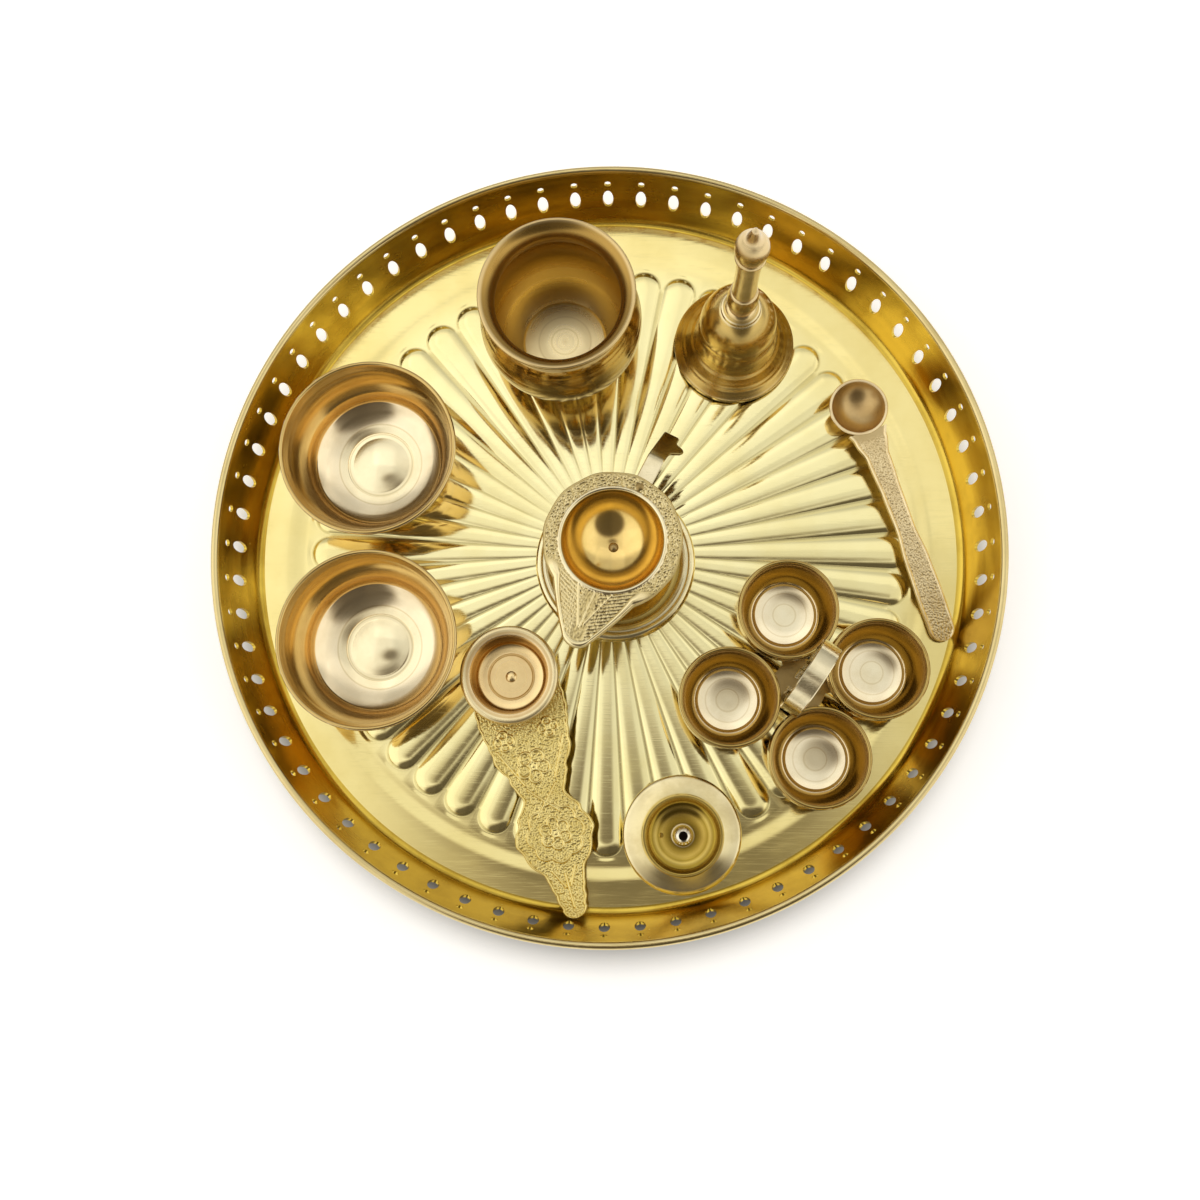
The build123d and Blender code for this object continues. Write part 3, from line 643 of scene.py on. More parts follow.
def makeIncenseStand():
    p = standSizes
    path = [(0, 0.4), (19, 0.4), (20.5, 0), (22.4, 0), (22.9, 0.4)]
    path += [(23.05, 1.2), (22.95, 1.9), (22.6, 2.35), (22.1, 2.65)]
    path += arcThrough(path[-1], (15.2, 4.5), (9.2, 7.2), 16)
    path += [(8.4, 7.7), (8.1, 8.2), (8.6, 8.8), (10.0, 9.9), (12.4, 11.2), (14.4, 12.2)]
    path += [(15.4, 12.8), (15.6, 13.4), (15.4, 13.9), (14.9, 14.0), (14.2, 13.9), (13.6, 13.2)]
    path += [(12.6, 12.2), (11.2, 11.6), (10.4, 11.7), (9.8, 11.4), (8.2, 11.1), (6.4, 10.9)]
    path += [(4.8, p["dishZ"]), (0, p["dishZ"])]
    seat = seatOf("incense_base")
    piece = turned("incenseStand", path, seat, 112)
    bpy.ops.object.select_all(action="DESELECT")
    drill = seat + Vector((p["drillX"], 0, p["drillZ"])) * mm  # the second, thinner stick hole
    bpy.ops.mesh.primitive_cylinder_add(
        vertices=24, radius=p["drillR"] * mm, depth=p["drillDepth"] * mm, location=drill)
    cutter = bpy.context.object
    applied(piece, "BOOLEAN", operation="DIFFERENCE", object=cutter, solver="EXACT")
    bpy.data.objects.remove(cutter)
    return endPiece(piece)


def makeIncenseBall():
    p = standSizes
    path = [(0, 0), (3.9, 0), (3.9, 0.5), (3.2, 0.9), (2.9, 1.4)]
    middle = 1.6 + sqrt(p["ballR"] ** 2 - p["neckR"] ** 2)
    floor = middle + p["ballR"] - p["holeDepth"]
    start, end = -0.75, 1.13                  # lowest and highest lean on the ball
    step = (end - start) / 12
    path += arcPoints((0, middle), p["ballR"], start - step, end - start + step, 13)
    path += [(1.7, middle + 3.55), (p["holeR"], middle + 3.2), (p["holeR"], floor), (0, floor)]
    return turned("incenseBall", path, seatOf("incense_base") + Vector((0, 0, p["dishZ"] * mm)), 56)


def makeBurnerCup():
    path = [(0, 0), (14.2, 0), (14.5, 0.3), (15.6, 7.6), (16.2, 8.4), (17.9, 8.5), (18.7, 8.9)]
    path += [(19.0, 9.5), (18.7, 10.1), (18.0, 10.5), (17.1, 10.5), (16.5, 10.3), (15.7, 10.4)]
    path += [(15.2, 10.2), (14.9, 9.6), (13.4, 2.6), (12.9, 1.9), (12.2, 1.5), (9.2, 1.5)]
    path += [(8.9, 1.2), (8.5, 1.2), (8.2, 1.5), (0, 1.5)]
    return turned("burnerCup", path, seatOf("burner_cup"), 112)


def makeLampPedestal():
    path = [(0, 0.3), (27.4, 0.3), (29.0, 0), (30.9, 0), (31.7, 0.5), (32.0, 1.3), (31.7, 2.2)]
    path += [(31.0, 2.7), (30.1, 2.8), (29.5, 2.4), (28.9, 2.3), (28.1, 2.5), (27.5, 2.2)]
    path += [(26.5, 1.7), (25.1, 1.6), (24.5, 1.9)]
    path += arcThrough((24.3, 2.0), (10.8, 3.7), (5.2, 8.6), 18)
    path += [(5.6, 9.2), (6.0, 10.0), (5.6, 10.8), (5.0, 11.4), (4.8, 14.5), (5.0, 17.8), (5.6, 18.6)]
    path += [(6.4, 19.6), (6.4, 20.6), (5.6, 21.6), (5.2, 22.6), (5.6, 24.4), (6.6, 26.2), (7.0, 27.1)]
    path += [(7.0, 27.5), (0, 27.5)]
    return turned("lampPedestal", path, seatOf("lamp_pedestal"), 112)


# The oil lamp's leaf: a bowl in a broad stippled border that runs out into a spout

leafSizes = {
    "bowlR": 18.8,
    "bowlDepth": 14.5,
    "bowlWall": 1.6,
    "leafR": 26.0,
    "lobes": 11,
    "lobeDepth": 0.35,
    "thick": 2.0,
    "spoutEdge": 1.15,       # middle of the spout's smooth raised edge, from the outline
    "edgeRise": 0.75,
    "edgeHalf": 1.0,
    "ribRise": 0.45,
    "ribHalf": 0.45,
    "finStep": 1.35,         # between the fins that feather the spout
    "finAt": 0.67,
    "finRise": 0.36,
    "finHalf": 0.42,
    "grain": 0.85,           # of the border
    "grainRise": 0.34,
    "spoutGrain": 0.8,
    "spoutGrainRise": 0.26,
    "borderR": 20.5,         # where the border starts
    "bossR": 6.4,
    "turn": -110.0,
    "points": 520,
    "borderRings": 44,
}


def leafOutline(count):
    p = leafSizes
    half = []
    for i in range(61):
        turn = pi - (pi - 0.66) * i / 60
        lobe = p["lobeDepth"] * (1 - cos(p["lobes"] * (pi - turn))) / 2
        away = p["leafR"] - lobe * (1 - smoothStep(45, 60, i))
        half.append((away * cos(turn), away * sin(turn)))
    half += arcThrough(half[-1], (29.2, 11.4), (38.6, 5.6), 16)
    half += arcThrough(half[-1], (41.4, 3.0), (42.2, 0), 8)
    half[0] = (half[0][0], 0.0)
    whole = half + [(x, -y) for x, y in half[-2:0:-1]]
    return evenLoop(whole, count)


def evenLoop(points, count):  # the same closed outline with evenly spread points
    lengths = [0]
    loop = points + points[:1]
    for a, b in zip(loop, loop[1:]):
        lengths.append(lengths[-1] + hypot(b[0] - a[0], b[1] - a[1]))
    out = []
    at = 0
    for i in range(count):
        goal = lengths[-1] * i / count
        while lengths[at + 1] < goal:
            at += 1
        share = (goal - lengths[at]) / (lengths[at + 1] - lengths[at])
        a, b = loop[at], loop[at + 1]
        out.append((a[0] + (b[0] - a[0]) * share, a[1] + (b[1] - a[1]) * share))
    return out


def insetLoop(points, gap):  # moves each point of a clockwise or counter-clockwise loop inwards
    area = sum(a[0] * b[1] - b[0] * a[1] for a, b in zip(points, points[1:] + points[:1]))
    side = 1 if area > 0 else -1
    out = []
    for i, (x, y) in enumerate(points):
        (ax, ay), (bx, by) = points[i - 1], points[(i + 1) % len(points)]
        length = hypot(bx - ax, by - ay)
        out.append((x - side * gap * (by - ay) / length, y + side * gap * (bx - ax) / length))
    return out


leafRibs = [((19.5, -6.0), (34.0, -0.9)), ((18.5, 0.8), (34.5, -0.2)), ((19.5, 7.0), (33.0, 1.0))]


def leafRelief(x, y, edge):  # heights of the casting, from 0 on the ground
    p = leafSizes
    spout = smoothStep(12, 19, x)
    best = p["edgeRise"] * ridge(abs(edge - p["spoutEdge"]), p["edgeHalf"]) * spout
    inner = smoothStep(1.9, 2.4, edge)
    if spout > 0:
        for line in leafRibs:
            rib = p["ribRise"] * ridge(nearLine(x, y, line), p["ribHalf"])
            best = max(best, rib * spout * inner)
        away = abs((x + 0.5 * abs(y)) % p["finStep"] - p["finAt"])
        fin = p["finRise"] * ridge(away, p["finHalf"]) * smoothStep(1.0, 3.0, abs(y))
        best = max(best, fin * spout * inner)
    ground = p["grainRise"] * stipple(x, y, p["grain"]) * (1 - spout) * smoothStep(0.2, 0.8, edge)
    ground += p["spoutGrainRise"] * stipple(x, y, p["spoutGrain"]) * spout * inner
    return max(best, ground)


def makeLampLeaf():
    p = leafSizes
    loop = leafOutline(p["points"])
    depth = p["bowlDepth"]
    ball = (p["bowlR"] ** 2 + depth ** 2) / (2 * depth)
    seat = seatOf("lamp_pedestal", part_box("lamp_leaf")[0].z)
    floor = 1.2 + p["bowlWall"]            # of the bowl, above the boss's underside
    top = floor + depth
    turns = [atan2(y, x) for x, y in loop]

    def circle(radius, height):
        return [Vector((radius * cos(t), radius * sin(t), height)) * mm for t in turns]

    def flat(points, height):
        return [Vector((x, y, height)) * mm for x, y in points]

    rings = []
    for i in range(1, 17):                  # inside of the bowl, from the middle up
        lean = asin(p["bowlR"] / ball) * i / 16
        rings.append(circle(ball * sin(lean), floor + ball - ball * cos(lean)))
    for radius, rise in ((19.0, 0.3), (19.4, 0.6), (19.9, 0.6), (20.3, 0.3)):
        rings.append(circle(radius, top + rise))  # smooth rounded edge of the bowl
    outer = insetLoop(loop, 0.25)
    for i in range(p["borderRings"] + 1):
        share = i / p["borderRings"]
        ring = []
        for (x, y), t in zip(outer, turns):
            bx, by = p["borderR"] * cos(t), p["borderR"] * sin(t)
            px, py = bx + (x - bx) * share, by + (y - by) * share
            edge = hypot(x - px, y - py)
            if px > 14:  # on the spout the outline runs aslant
                edge *= min(1, 0.55 + 0.45 * cos(2 * t))
            ring.append(Vector((px, py, top - 0.1 + leafRelief(px, py, edge))) * mm)
        rings.append(ring)
    rings.append(flat(loop, top - 0.4))
    rings.append(flat(loop, top - p["thick"] + 0.3))
    rings.append(flat(insetLoop(loop, 0.4), top - p["thick"]))
    outerR = sqrt((ball + p["bowlWall"]) ** 2 - (ball - depth + p["thick"]) ** 2)
    rings.append(circle(outerR + 0.5, top - p["thick"]))
    reach = ball + p["bowlWall"]
    for i in range(13, 3, -1):
        lean = asin(outerR / reach) * i / 13
        if reach * sin(lean) > p["bossR"]:
            rings.append(circle(reach * sin(lean), floor + ball - reach * cos(lean)))
    rings.append(circle(p["bossR"], 1.0))
    rings.append(circle(p["bossR"] - 0.2, 0))
    piece = lofted("lampLeaf", rings)

    def raisedAt(vert):  # the bowl and its edge are kept out of the darkened ground
        away = hypot(vert.co.x, vert.co.y) / mm
        return vert.co.z / mm - top - 0.1 if away > 20.4 else 0.5

    markPoints(piece, "raised", raisedAt)
    return placed(piece, seat, p["turn"])


# Relief pieces cast with their ornament: a grid whose heights are the casting

def reliefGrid(name, p, widthAt, backAt, reliefAt, thick):
    bpy.ops.object.select_all(action="DESELECT")
    bpy.ops.mesh.primitive_grid_add(x_subdivisions=p["columns"], y_subdivisions=p["rows"], size=2)
    piece = opened(name)

    def surface(co):
        along = p["gripFrom"] + (p["length"] - p["gripFrom"]) * (co.x + 1) / 2
        wide = widthAt(along)
        side = co.y * wide
        return Vector((along, side, backAt(along) + reliefAt(along, side, wide - abs(side)))) * mm

    bpy.ops.mesh.select_all(action="SELECT")
    shapePicked(piece, surface)
    weld(0.001)
    pickEdges(piece, lambda a, b: True)
    for step in range(2):
        bpy.ops.mesh.extrude_region_move()
        bpy.ops.transform.translate(value=(0, 0, -thick * mm / 2))
    bpy.ops.mesh.edge_face_add()
    weld(0.001)
    bpy.ops.mesh.normals_make_consistent(inside=False)
    endPiece(piece, 55)
    markPoints(piece, "raised", lambda vert: vert.co.z / mm - backAt(vert.co.x / mm))
    return piece


spoonSizes = {"bowlR": 10.6, "bowlDepth": 6.5, "wall": 1.3, "length": 99.0, "thick": 2.1, "tipTop": 1.2,
              "tipR": 5.1, "arch": 2.6, "turn": -70.6, "place": (0.1007, 0.0574), "gripFrom": 10.4,
              "borderIn": 0.6, "borderRise": 0.28, "borderHalf": 0.45, "grain": 0.62, "grainRise": 0.22,
              "sink": 0.22, "columns": 320, "rows": 40}
spoonWidths = [(8, 8.6), (14, 6.6), (22, 4.7), (38, 4.0), (52, 3.75), (66, 4.9), (80, 5.2), (94, 5.1)]


def makeSpoon():
    p = spoonSizes
    ball = (p["bowlR"] ** 2 + p["bowlDepth"] ** 2) / (2 * p["bowlDepth"])
    rimZ = p["bowlDepth"] + p["wall"]
    lean = asin(p["bowlR"] / ball)
    reach = ball + p["wall"]
    inside, outer = [], []
    for i in range(17):
        turn = lean * i / 16
        inside.append((ball * sin(turn), reach - ball * cos(turn)))
        outer.append((reach * sin(turn), reach - reach * cos(turn)))
    rim = [(11.75, rimZ - 0.15), (11.5, rimZ + 0.1), (11.0, rimZ + 0.1)]
    bowl = turned("spoonBowl", outer[:-1] + rim + inside[::-1], (0, 0, 0), 72)

    def widthAt(along):
        wide = between(spoonWidths, along)
        left = p["length"] - along
        if left < p["tipR"]:
            wide = sqrt(max(p["tipR"] ** 2 - (p["tipR"] - left) ** 2, 0.04))
        return wide

    def backAt(along):
        share = along / p["length"]
        return rimZ + (p["tipTop"] - rimZ) * share + p["arch"] * 4 * share * (1 - share) - 0.1

    def reliefAt(along, side, edge):
        border = p["borderRise"] * ridge(abs(edge - p["borderIn"]), p["borderHalf"])
        ground = p["grainRise"] * stipple(along, side, p["grain"]) * smoothStep(0.9, 1.3, edge)
        best = max(border * smoothStep(11, 15, along), ground * smoothStep(12, 16, along))
        return best - p["sink"] * smoothStep(0.7, 1.3, edge)

    grip = reliefGrid("spoonGrip", p, widthAt, backAt, reliefAt, p["thick"])
    chosen(bowl, grip)
    bpy.ops.object.join()
    bowl.name = "spoonPiece"
    endPiece(bowl, 50)
    high = max(backAt(along) for along in range(100)) + 0.15
    return placed(bowl, Vector((*p["place"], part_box("spoon")[1].z - high * mm)), p["turn"])


handleSizes = {"thick": 2.2, "length": 95.2, "turn": -73.8, "gripFrom": -16.9, "roundR": 17.0, "wave": 0.15,
               "tip": 4, "tipHalf": 4.8, "lineRise": 0.62, "lineHalf": 0.5, "shellR": 9.6, "scallop": 1.6,
               "grain": 0.66, "grainRise": 0.25, "sink": 0.5, "columns": 440, "rows": 140}
handleWidths = [(0, 17.6), (14, 18.0), (31, 15.5), (39, 11.6), (48, 8.6), (55, 12.8),
                (62.5, 15.8), (70, 13.2), (79, 7.5), (86, 6.0), (92, 4.8), (95.2, 1.0)]
flowers = [
    {"at": (35.5, -1.0), "petals": 5, "reach": 6.8, "loop": 2.9, "heart": 1.2},
    {"at": (62.5, 0.5), "petals": 6, "reach": 6.4, "loop": 2.5, "heart": 1.3},
    {"at": (22.5, 8.5), "petals": 4, "reach": 4.0, "loop": 2.0, "heart": 0.9},
    {"at": (23.5, -9.5), "petals": 4, "reach": 4.0, "loop": 2.0, "heart": 0.9},
]
vines = [
    ((44.0, -5.6), (55.0, 4.6)), ((44.0, 5.6), (55.0, -4.6)),
    ((27.0, -13.2), (42.0, -6.0)), ((27.0, 13.2), (42.0, 6.0)),
    ((78.0, 0.0), (91.0, 0.0)), ((76.0, 4.6), (83.0, 1.0)), ((76.0, -4.6), (83.0, -1.0)),
]


def flowerRelief(along, side, f):  # loop petals round a small heart
    x, y = along - f["at"][0], side - f["at"][1]
    away = hypot(x, y)
    if away > f["reach"] + 1:
        return 0
    step = tau / f["petals"]
    near = round(atan2(y, x) / step) * step
    radial = x * cos(near) + y * sin(near) - f["reach"] * 0.58
    across = y * cos(near) - x * sin(near)
    oval = hypot(radial / (f["reach"] * 0.42), across / f["loop"])
    loop = 0.66 * ridge(abs(oval - 0.88) * f["loop"], 0.55)
    return max(0.64 * ridge(away, f["heart"]), loop)


def makeBurnerHandle():
    p = handleSizes

    def widthAt(along):
        wide = between(handleWidths, along) - p["wave"] + p["wave"] * sin(along * 1.3)
        if along < 0:
            wide = sqrt(max(p["roundR"] ** 2 - along ** 2, 0.05))
        left = p["length"] - along
        if left < p["tip"]:
            wide = p["tipHalf"] * sqrt(max(1 - ((p["tip"] - left) / p["tip"]) ** 2, 0.002))
        return wide

    def backAt(along):
        return p["thick"] - 0.15

    def raisedLine(away):
        return p["lineRise"] * ridge(away, p["lineHalf"])

    def reliefAt(along, side, edge):
        best = raisedLine(abs(edge - p["lineHalf"]))
        for f in flowers:
            best = max(best, flowerRelief(along, side, f))
        for vine in vines:
            best = max(best, raisedLine(nearLine(along, side, vine)))
        x, y = along - flowers[1]["at"][0], side - flowers[1]["at"][1]
        shell = p["shellR"] + p["scallop"] * abs(cos(4 * atan2(y, x)))  # ring round the medallion
        best = max(best, raisedLine(abs(hypot(x, y) - shell)) * smoothStep(0.8, 1.4, edge))
        ground = p["grainRise"] * stipple(along, side, p["grain"]) * smoothStep(0.7, 1.2, edge)
        return max(best, ground) - p["sink"]

    piece = reliefGrid("burnerHandle", p, widthAt, backAt, reliefAt, p["thick"] - 0.7)
    return placed(piece, seatOf("burner_cup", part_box("burner_handle")[0].z), p["turn"])


# Straps: the lamp's bent strap and the cups' finger loop

def bentStrap(name, path, widths, thick):  # a flat strip along a path in the XZ plane, rounded at its edges
    rings = []
    for i, (x, z) in enumerate(path):
        (ax, az), (bx, bz) = path[max(i - 1, 0)], path[min(i + 1, len(path) - 1)]
        length = hypot(bx - ax, bz - az)
        nx, nz = -(bz - az) / length, (bx - ax) / length
        low, high = widths[i]
        ease = thick * 0.3
        under = [(low, ease), (low + ease, 0), (high - ease, 0), (high, ease)]
        over = [(side, thick - lift) for side, lift in under[::-1]]
        rings.append([Vector((x + nx * lift, side, z + nz * lift)) * mm for side, lift in under + over])
    return lofted(name, rings)


strapSizes = {"half": 3.25, "thick": 1.2, "bendX": 35.03, "fall": 13 / 14, "turn": 173.0}


def makeLampStrap():
    p = strapSizes
    half, low = p["half"], -p["thick"]
    path = [(20.9, low), (28, low), (33.6, low), (34.5, -1.27), (35.2, -1.5), (35.9, -2.0)]
    widths = [(-half, half)] * len(path)
    tongue = {38: half, 39.2: 3.4, 40.2: 4.1, 41.2: 5.6, 42.0: 6.8, 42.8: 7.3, 43.5: 7.35, 44.1: 6.9,
              44.5: 6.0, 44.8: 4.9, 45.2: 4.0, 45.8: 3.5, 46.6: 3.3,  # a hook at its side
              47.8: half, 48.4: 3.1, 48.6: 2.7}                       # its plain end
    for x, reach in tongue.items():
        path.append((x, low - (x - p["bendX"]) * p["fall"]))
        widths.append((-reach, half))
    strap = bentStrap("lampStrap", path, widths, p["thick"])
    seat = seatOf("lamp_pedestal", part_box("lamp_handle")[1].z)
    return placed(strap, seat, leafSizes["turn"] + p["turn"])


loopSizes = {"leg": 7.4, "legH": 22.5, "ringR": 15.0, "w": 7.5, "thick": 1.2, "foot": 2.0, "turn": 56.0}


def makeCupLoop():
    p = loopSizes
    lowRing = sqrt(p["ringR"] ** 2 - p["leg"] ** 2)
    half = [(p["foot"], 0), (4.6, 0), (5.6, 0.0), (6.5, 0.25), (7.15, 0.9)]
    half += [(p["leg"], z) for z in (1.8, 8, 15, 21.4)]
    start = atan2(-lowRing, p["leg"])
    half += arcPoints((0, p["legH"] + lowRing), p["ringR"], start, pi / 2 - start, 28)
    path = half + [(-x, z) for x, z in half[-2::-1]]
    piece = bentStrap("cupLoop", path, [(-p["w"] / 2, p["w"] / 2)] * len(path), p["thick"])
    return placed(piece, seatOf("cup_frame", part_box("cup_frame")[1].z), p["turn"])


# Brass: shared effects as node groups, then one material for each finish

def feed(tree, value, socket):  # a link, a number, a place or a colour
    if isinstance(value, bpy.types.NodeSocket):
        tree.links.new(value, socket)
    else:
        socket.default_value = (*value, 1) if socket.type == "RGBA" else value


def newNode(tree, kind, feeds, **settings):
    node = tree.nodes.new("ShaderNode" + kind)
    for key, value in settings.items():
        setattr(node, key, value)
    for label, value in feeds.items():
        feed(tree, value, node.inputs[label])
    return node


def mathNode(tree, operation, a, b=0.0):
    return newNode(tree, "Math", {0: a, 1: b}, operation=operation).outputs[0]


def times(tree, a, b):
    return mathNode(tree, "MULTIPLY", a, b)


def plus(tree, a, b):
    return mathNode(tree, "ADD", a, b)


def minus(tree, a, b):
    return mathNode(tree, "SUBTRACT", a, b)


def lengthOf(tree, a, b):
    return mathNode(tree, "SQRT", plus(tree, times(tree, a, a), times(tree, b, b)))


def splitUp(tree, vector):
    return newNode(tree, "SeparateXYZ", {0: vector}).outputs


def awayFromAxis(tree, vector):
    x, y, z = splitUp(tree, vector)
    return lengthOf(tree, x, y)


def awayFromFoot(tree, vector):  # grows all the way up a hollow, from its floor to its lip
    return newNode(tree, "VectorMath", {0: vector}, operation="LENGTH").outputs["Value"]


def noiseNode(tree, vector, scale, detail, rough=0.55):
    feeds = {"Vector": vector, "Scale": scale, "Detail": detail, "Roughness": rough}
    return newNode(tree, "TexNoise", feeds).outputs["Fac"]


def spread(tree, value, low, high):  # stretches low..high to 0..1
    feeds = {"Value": value, "From Min": low, "From Max": high}
    return newNode(tree, "MapRange", feeds, interpolation_type="SMOOTHSTEP").outputs["Result"]


def mixColor(tree, factor, a, b, blend="MIX"):
    feeds = {"Factor": factor, "A": a, "B": b}
    return newNode(tree, "Mix", feeds, data_type="RGBA", blend_type=blend).outputs["Result"]


socketKinds = {"Vector": "NodeSocketVector", "Clean": "NodeSocketColor", "Dull": "NodeSocketColor",
               "Color": "NodeSocketColor"}  # all others carry one number


def newGroup(name, inputs, outputs):
    group = bpy.data.node_groups.new(name, "ShaderNodeTree")
    for way, labels in (("INPUT", inputs), ("OUTPUT", outputs)):
        for label in labels:
            kind = socketKinds.get(label, "NodeSocketFloat")
            group.interface.new_socket(name=label, in_out=way, socket_type=kind)
    return group, group.nodes.new("NodeGroupInput").outputs, group.nodes.new("NodeGroupOutput").inputs


def buildTarnish():  # cloudy darkening of old polish
    labels = ("Vector", "Clean", "Dull", "Scale", "Amount")
    group, given, result = newGroup("tarnish", labels, ("Color", "Mask"))
    cloud = noiseNode(group, given["Vector"], given["Scale"], 5.0, 0.62)
    mask = times(group, spread(group, cloud, 0.38, 0.72), given["Amount"])
    feed(group, mixColor(group, mask, given["Clean"], given["Dull"]), result["Color"])
    feed(group, mask, result["Mask"])
    return group


def buildLathe():  # rings left by turning: they depend on radius and height alone
    group, given, result = newGroup("latheRings", ("Vector", "Scale"), ("Height", "Mask"))
    x, y, z = splitUp(group, given["Vector"])
    both = newNode(group, "CombineXYZ", {"X": lengthOf(group, x, y), "Y": z}).outputs[0]
    shrunk = newNode(group, "VectorMath", {0: both, "Scale": 0.16}, operation="SCALE").outputs[0]
    broad = noiseNode(group, shrunk, given["Scale"], 2.0)
    feed(group, noiseNode(group, both, given["Scale"], 4.0, 0.6), result["Height"])
    feed(group, spread(group, broad, 0.35, 0.65), result["Mask"])
    return group


def buildScratches():  # fine rubbing lines in three directions
    group, given, result = newGroup("rubbing", ("Vector", "Scale"), ("Height", "Mask"))
    total = 0.0
    for degrees, stretch in ((21, 26), (-48, 34), (79, 30)):
        feeds = {"Vector": given["Vector"], "Rotation": (0, 0, radians(degrees)),
                 "Scale": (1, stretch, stretch)}
        lines = noiseNode(group, newNode(group, "Mapping", feeds).outputs[0], given["Scale"], 2.0)
        total = mathNode(group, "MAXIMUM", spread(group, lines, 0.56, 0.74), total)
    feed(group, total, result["Height"])
    feed(group, total, result["Mask"])
    return group


creaseSizes = {"startR": (26, 40), "endBefore": 2.0, "endAfter": 1.5, "lineIn": 0.035, "lineOut": 0.02,
               "arcHalf": (0.9, 0.1), "arcAhead": 1.0}


def buildCreases():  # painted shade: dark lines between the plate's flutes and round their ends
    p, c = plateSizes, creaseSizes
    half = p["fluteW"] / 2
    endR = p["fluteOuterR"] - half
    group, given, result = newGroup("creaseShade", ("Vector",), ("Mask",))
    x, y, z = splitUp(group, given["Vector"])
    away = lengthOf(group, x, y)
    turn = times(group, mathNode(group, "ARCTAN2", y, x), p["fluteCount"] / tau)
    fold = mathNode(group, "PINGPONG", turn, 0.5)   # 0 on a crest, 0.5 in a valley
    edge = p["fluteCount"] * atan2(half, endR) / tau
    line = spread(group, fold, edge - c["lineIn"], edge + c["lineOut"])
    line = times(group, line, spread(group, away, *(r * mm for r in c["startR"])))
    ends = ((endR + c["endAfter"]) * mm, (endR - c["endBefore"]) * mm)
    line = times(group, line, spread(group, away, *ends))
    bend = times(group, fold, tau / p["fluteCount"])
    ahead = minus(group, times(group, away, mathNode(group, "COSINE", bend)), endR * mm)
    aside = times(group, away, mathNode(group, "SINE", bend))
    fromEdge = mathNode(group, "ABSOLUTE", minus(group, lengthOf(group, ahead, aside), half * mm))
    arc = times(group, spread(group, fromEdge, *(w * mm for w in c["arcHalf"])),
                spread(group, ahead, -c["arcAhead"] * mm, c["arcAhead"] * mm))
    feed(group, mathNode(group, "MAXIMUM", line, arc), result["Mask"])
    return group


groups = {"tarnish": buildTarnish(), "lathe": buildLathe(), "rubbing": buildScratches(),
          "creaseShade": buildCreases()}


def useGroup(tree, kind, feeds):
    return newNode(tree, "Group", feeds, node_tree=groups[kind]).outputs


def attribute(tree, label):
    return newNode(tree, "Attribute", {}, attribute_name=label).outputs["Fac"]


def zoneColor(tree, value, zones):  # colours at distances in millimetres from the axis or the foot
    reach = zones[-1][0]
    ramp = newNode(tree, "ValToRGB", {"Fac": times(tree, value, 1 / (reach * mm))})
    stops = ramp.color_ramp.elements
    while len(stops) < len(zones):
        stops.new(0.5)
    for stop, (at, color) in zip(stops, zones):
        stop.position = at / reach
    for stop, (at, color) in zip(stops, zones):
        stop.color = (*color, 1)
    return ramp.outputs["Color"]


def newMaterial(name):
    material = bpy.data.materials.new(name)
    material.use_nodes = True
    return material, material.node_tree, material.node_tree.nodes["Principled BSDF"].inputs


def makeBrass(finishName, centre=(0, 0, 0), name=None):
    finish = finishes[finishName]
    material, tree, shader = newMaterial(name or finishName + "Brass")
    where = newNode(tree, "TexCoord", {}).outputs["Object"]
    own = newNode(tree, "Mapping", {"Vector": where, "Location": [-c for c in centre]}).outputs[0]
    dull = finish["dull"]
    if "zones" in finish:  # their dull colour is a share of the clean one
        clean = zoneColor(tree, awayFromAxis(tree, own), finish["zones"])
        dull = mixColor(tree, 1.0, clean, dull, "MULTIPLY")
    else:
        clean = finish["clean"]
    tone = useGroup(tree, "tarnish", {"Vector": where, "Clean": clean, "Dull": dull,
                                      "Scale": finish["toneScale"], "Amount": finish["toneAmount"]})
    color = tone["Color"]
    rough = plus(tree, times(tree, tone["Mask"], finish["roughDull"]), finish["rough"])
    layers = []  # mask, its settings
    normal = None
    for kind in ("lathe", "rubbing"):
        if kind in finish:
            f = finish[kind]
            vector = own if kind == "lathe" else where
            effect = useGroup(tree, kind, {"Vector": vector, "Scale": f["scale"]})
            bump = {"Distance": f["depth"] * mm, "Strength": 1.0, "Height": effect["Height"]}
            normal = newNode(tree, "Bump", bump).outputs["Normal"]
            layers.append((effect["Mask"], f))
    # painted shade along the plate's creases
    if "creaseShade" in finish:
        layers.append((useGroup(tree, "creaseShade", {"Vector": where})["Mask"], finish["creaseShade"]))
    if "inside" in finish:  # the hollow's own colours: for the pot, painted shade on its inner wall and a painted highlight on its lip
        layers.append((attribute(tree, "inner"), finish["inside"]))
    if "groundDarkening" in finish:  # the lower ground between raised parts is darkened, raised parts keep the base colour
        f = finish["groundDarkening"]
        layers.append((spread(tree, attribute(tree, "raised"), f["bright"], f["dark"]), f))
    for mask, f in layers:
        rough = plus(tree, rough, times(tree, mask, f["rough"]))
        if "shade" in f:
            color = mixColor(tree, times(tree, mask, f["shadeAmount"]), color, f["shade"])
        if "zones" in f:
            color = mixColor(tree, mask, color, zoneColor(tree, awayFromFoot(tree, own), f["zones"]))
    feed(tree, 1.0, shader["Metallic"])
    feed(tree, color, shader["Base Color"])
    feed(tree, rough, shader["Roughness"])
    if normal is not None:
        feed(tree, normal, shader["Normal"])
    return material


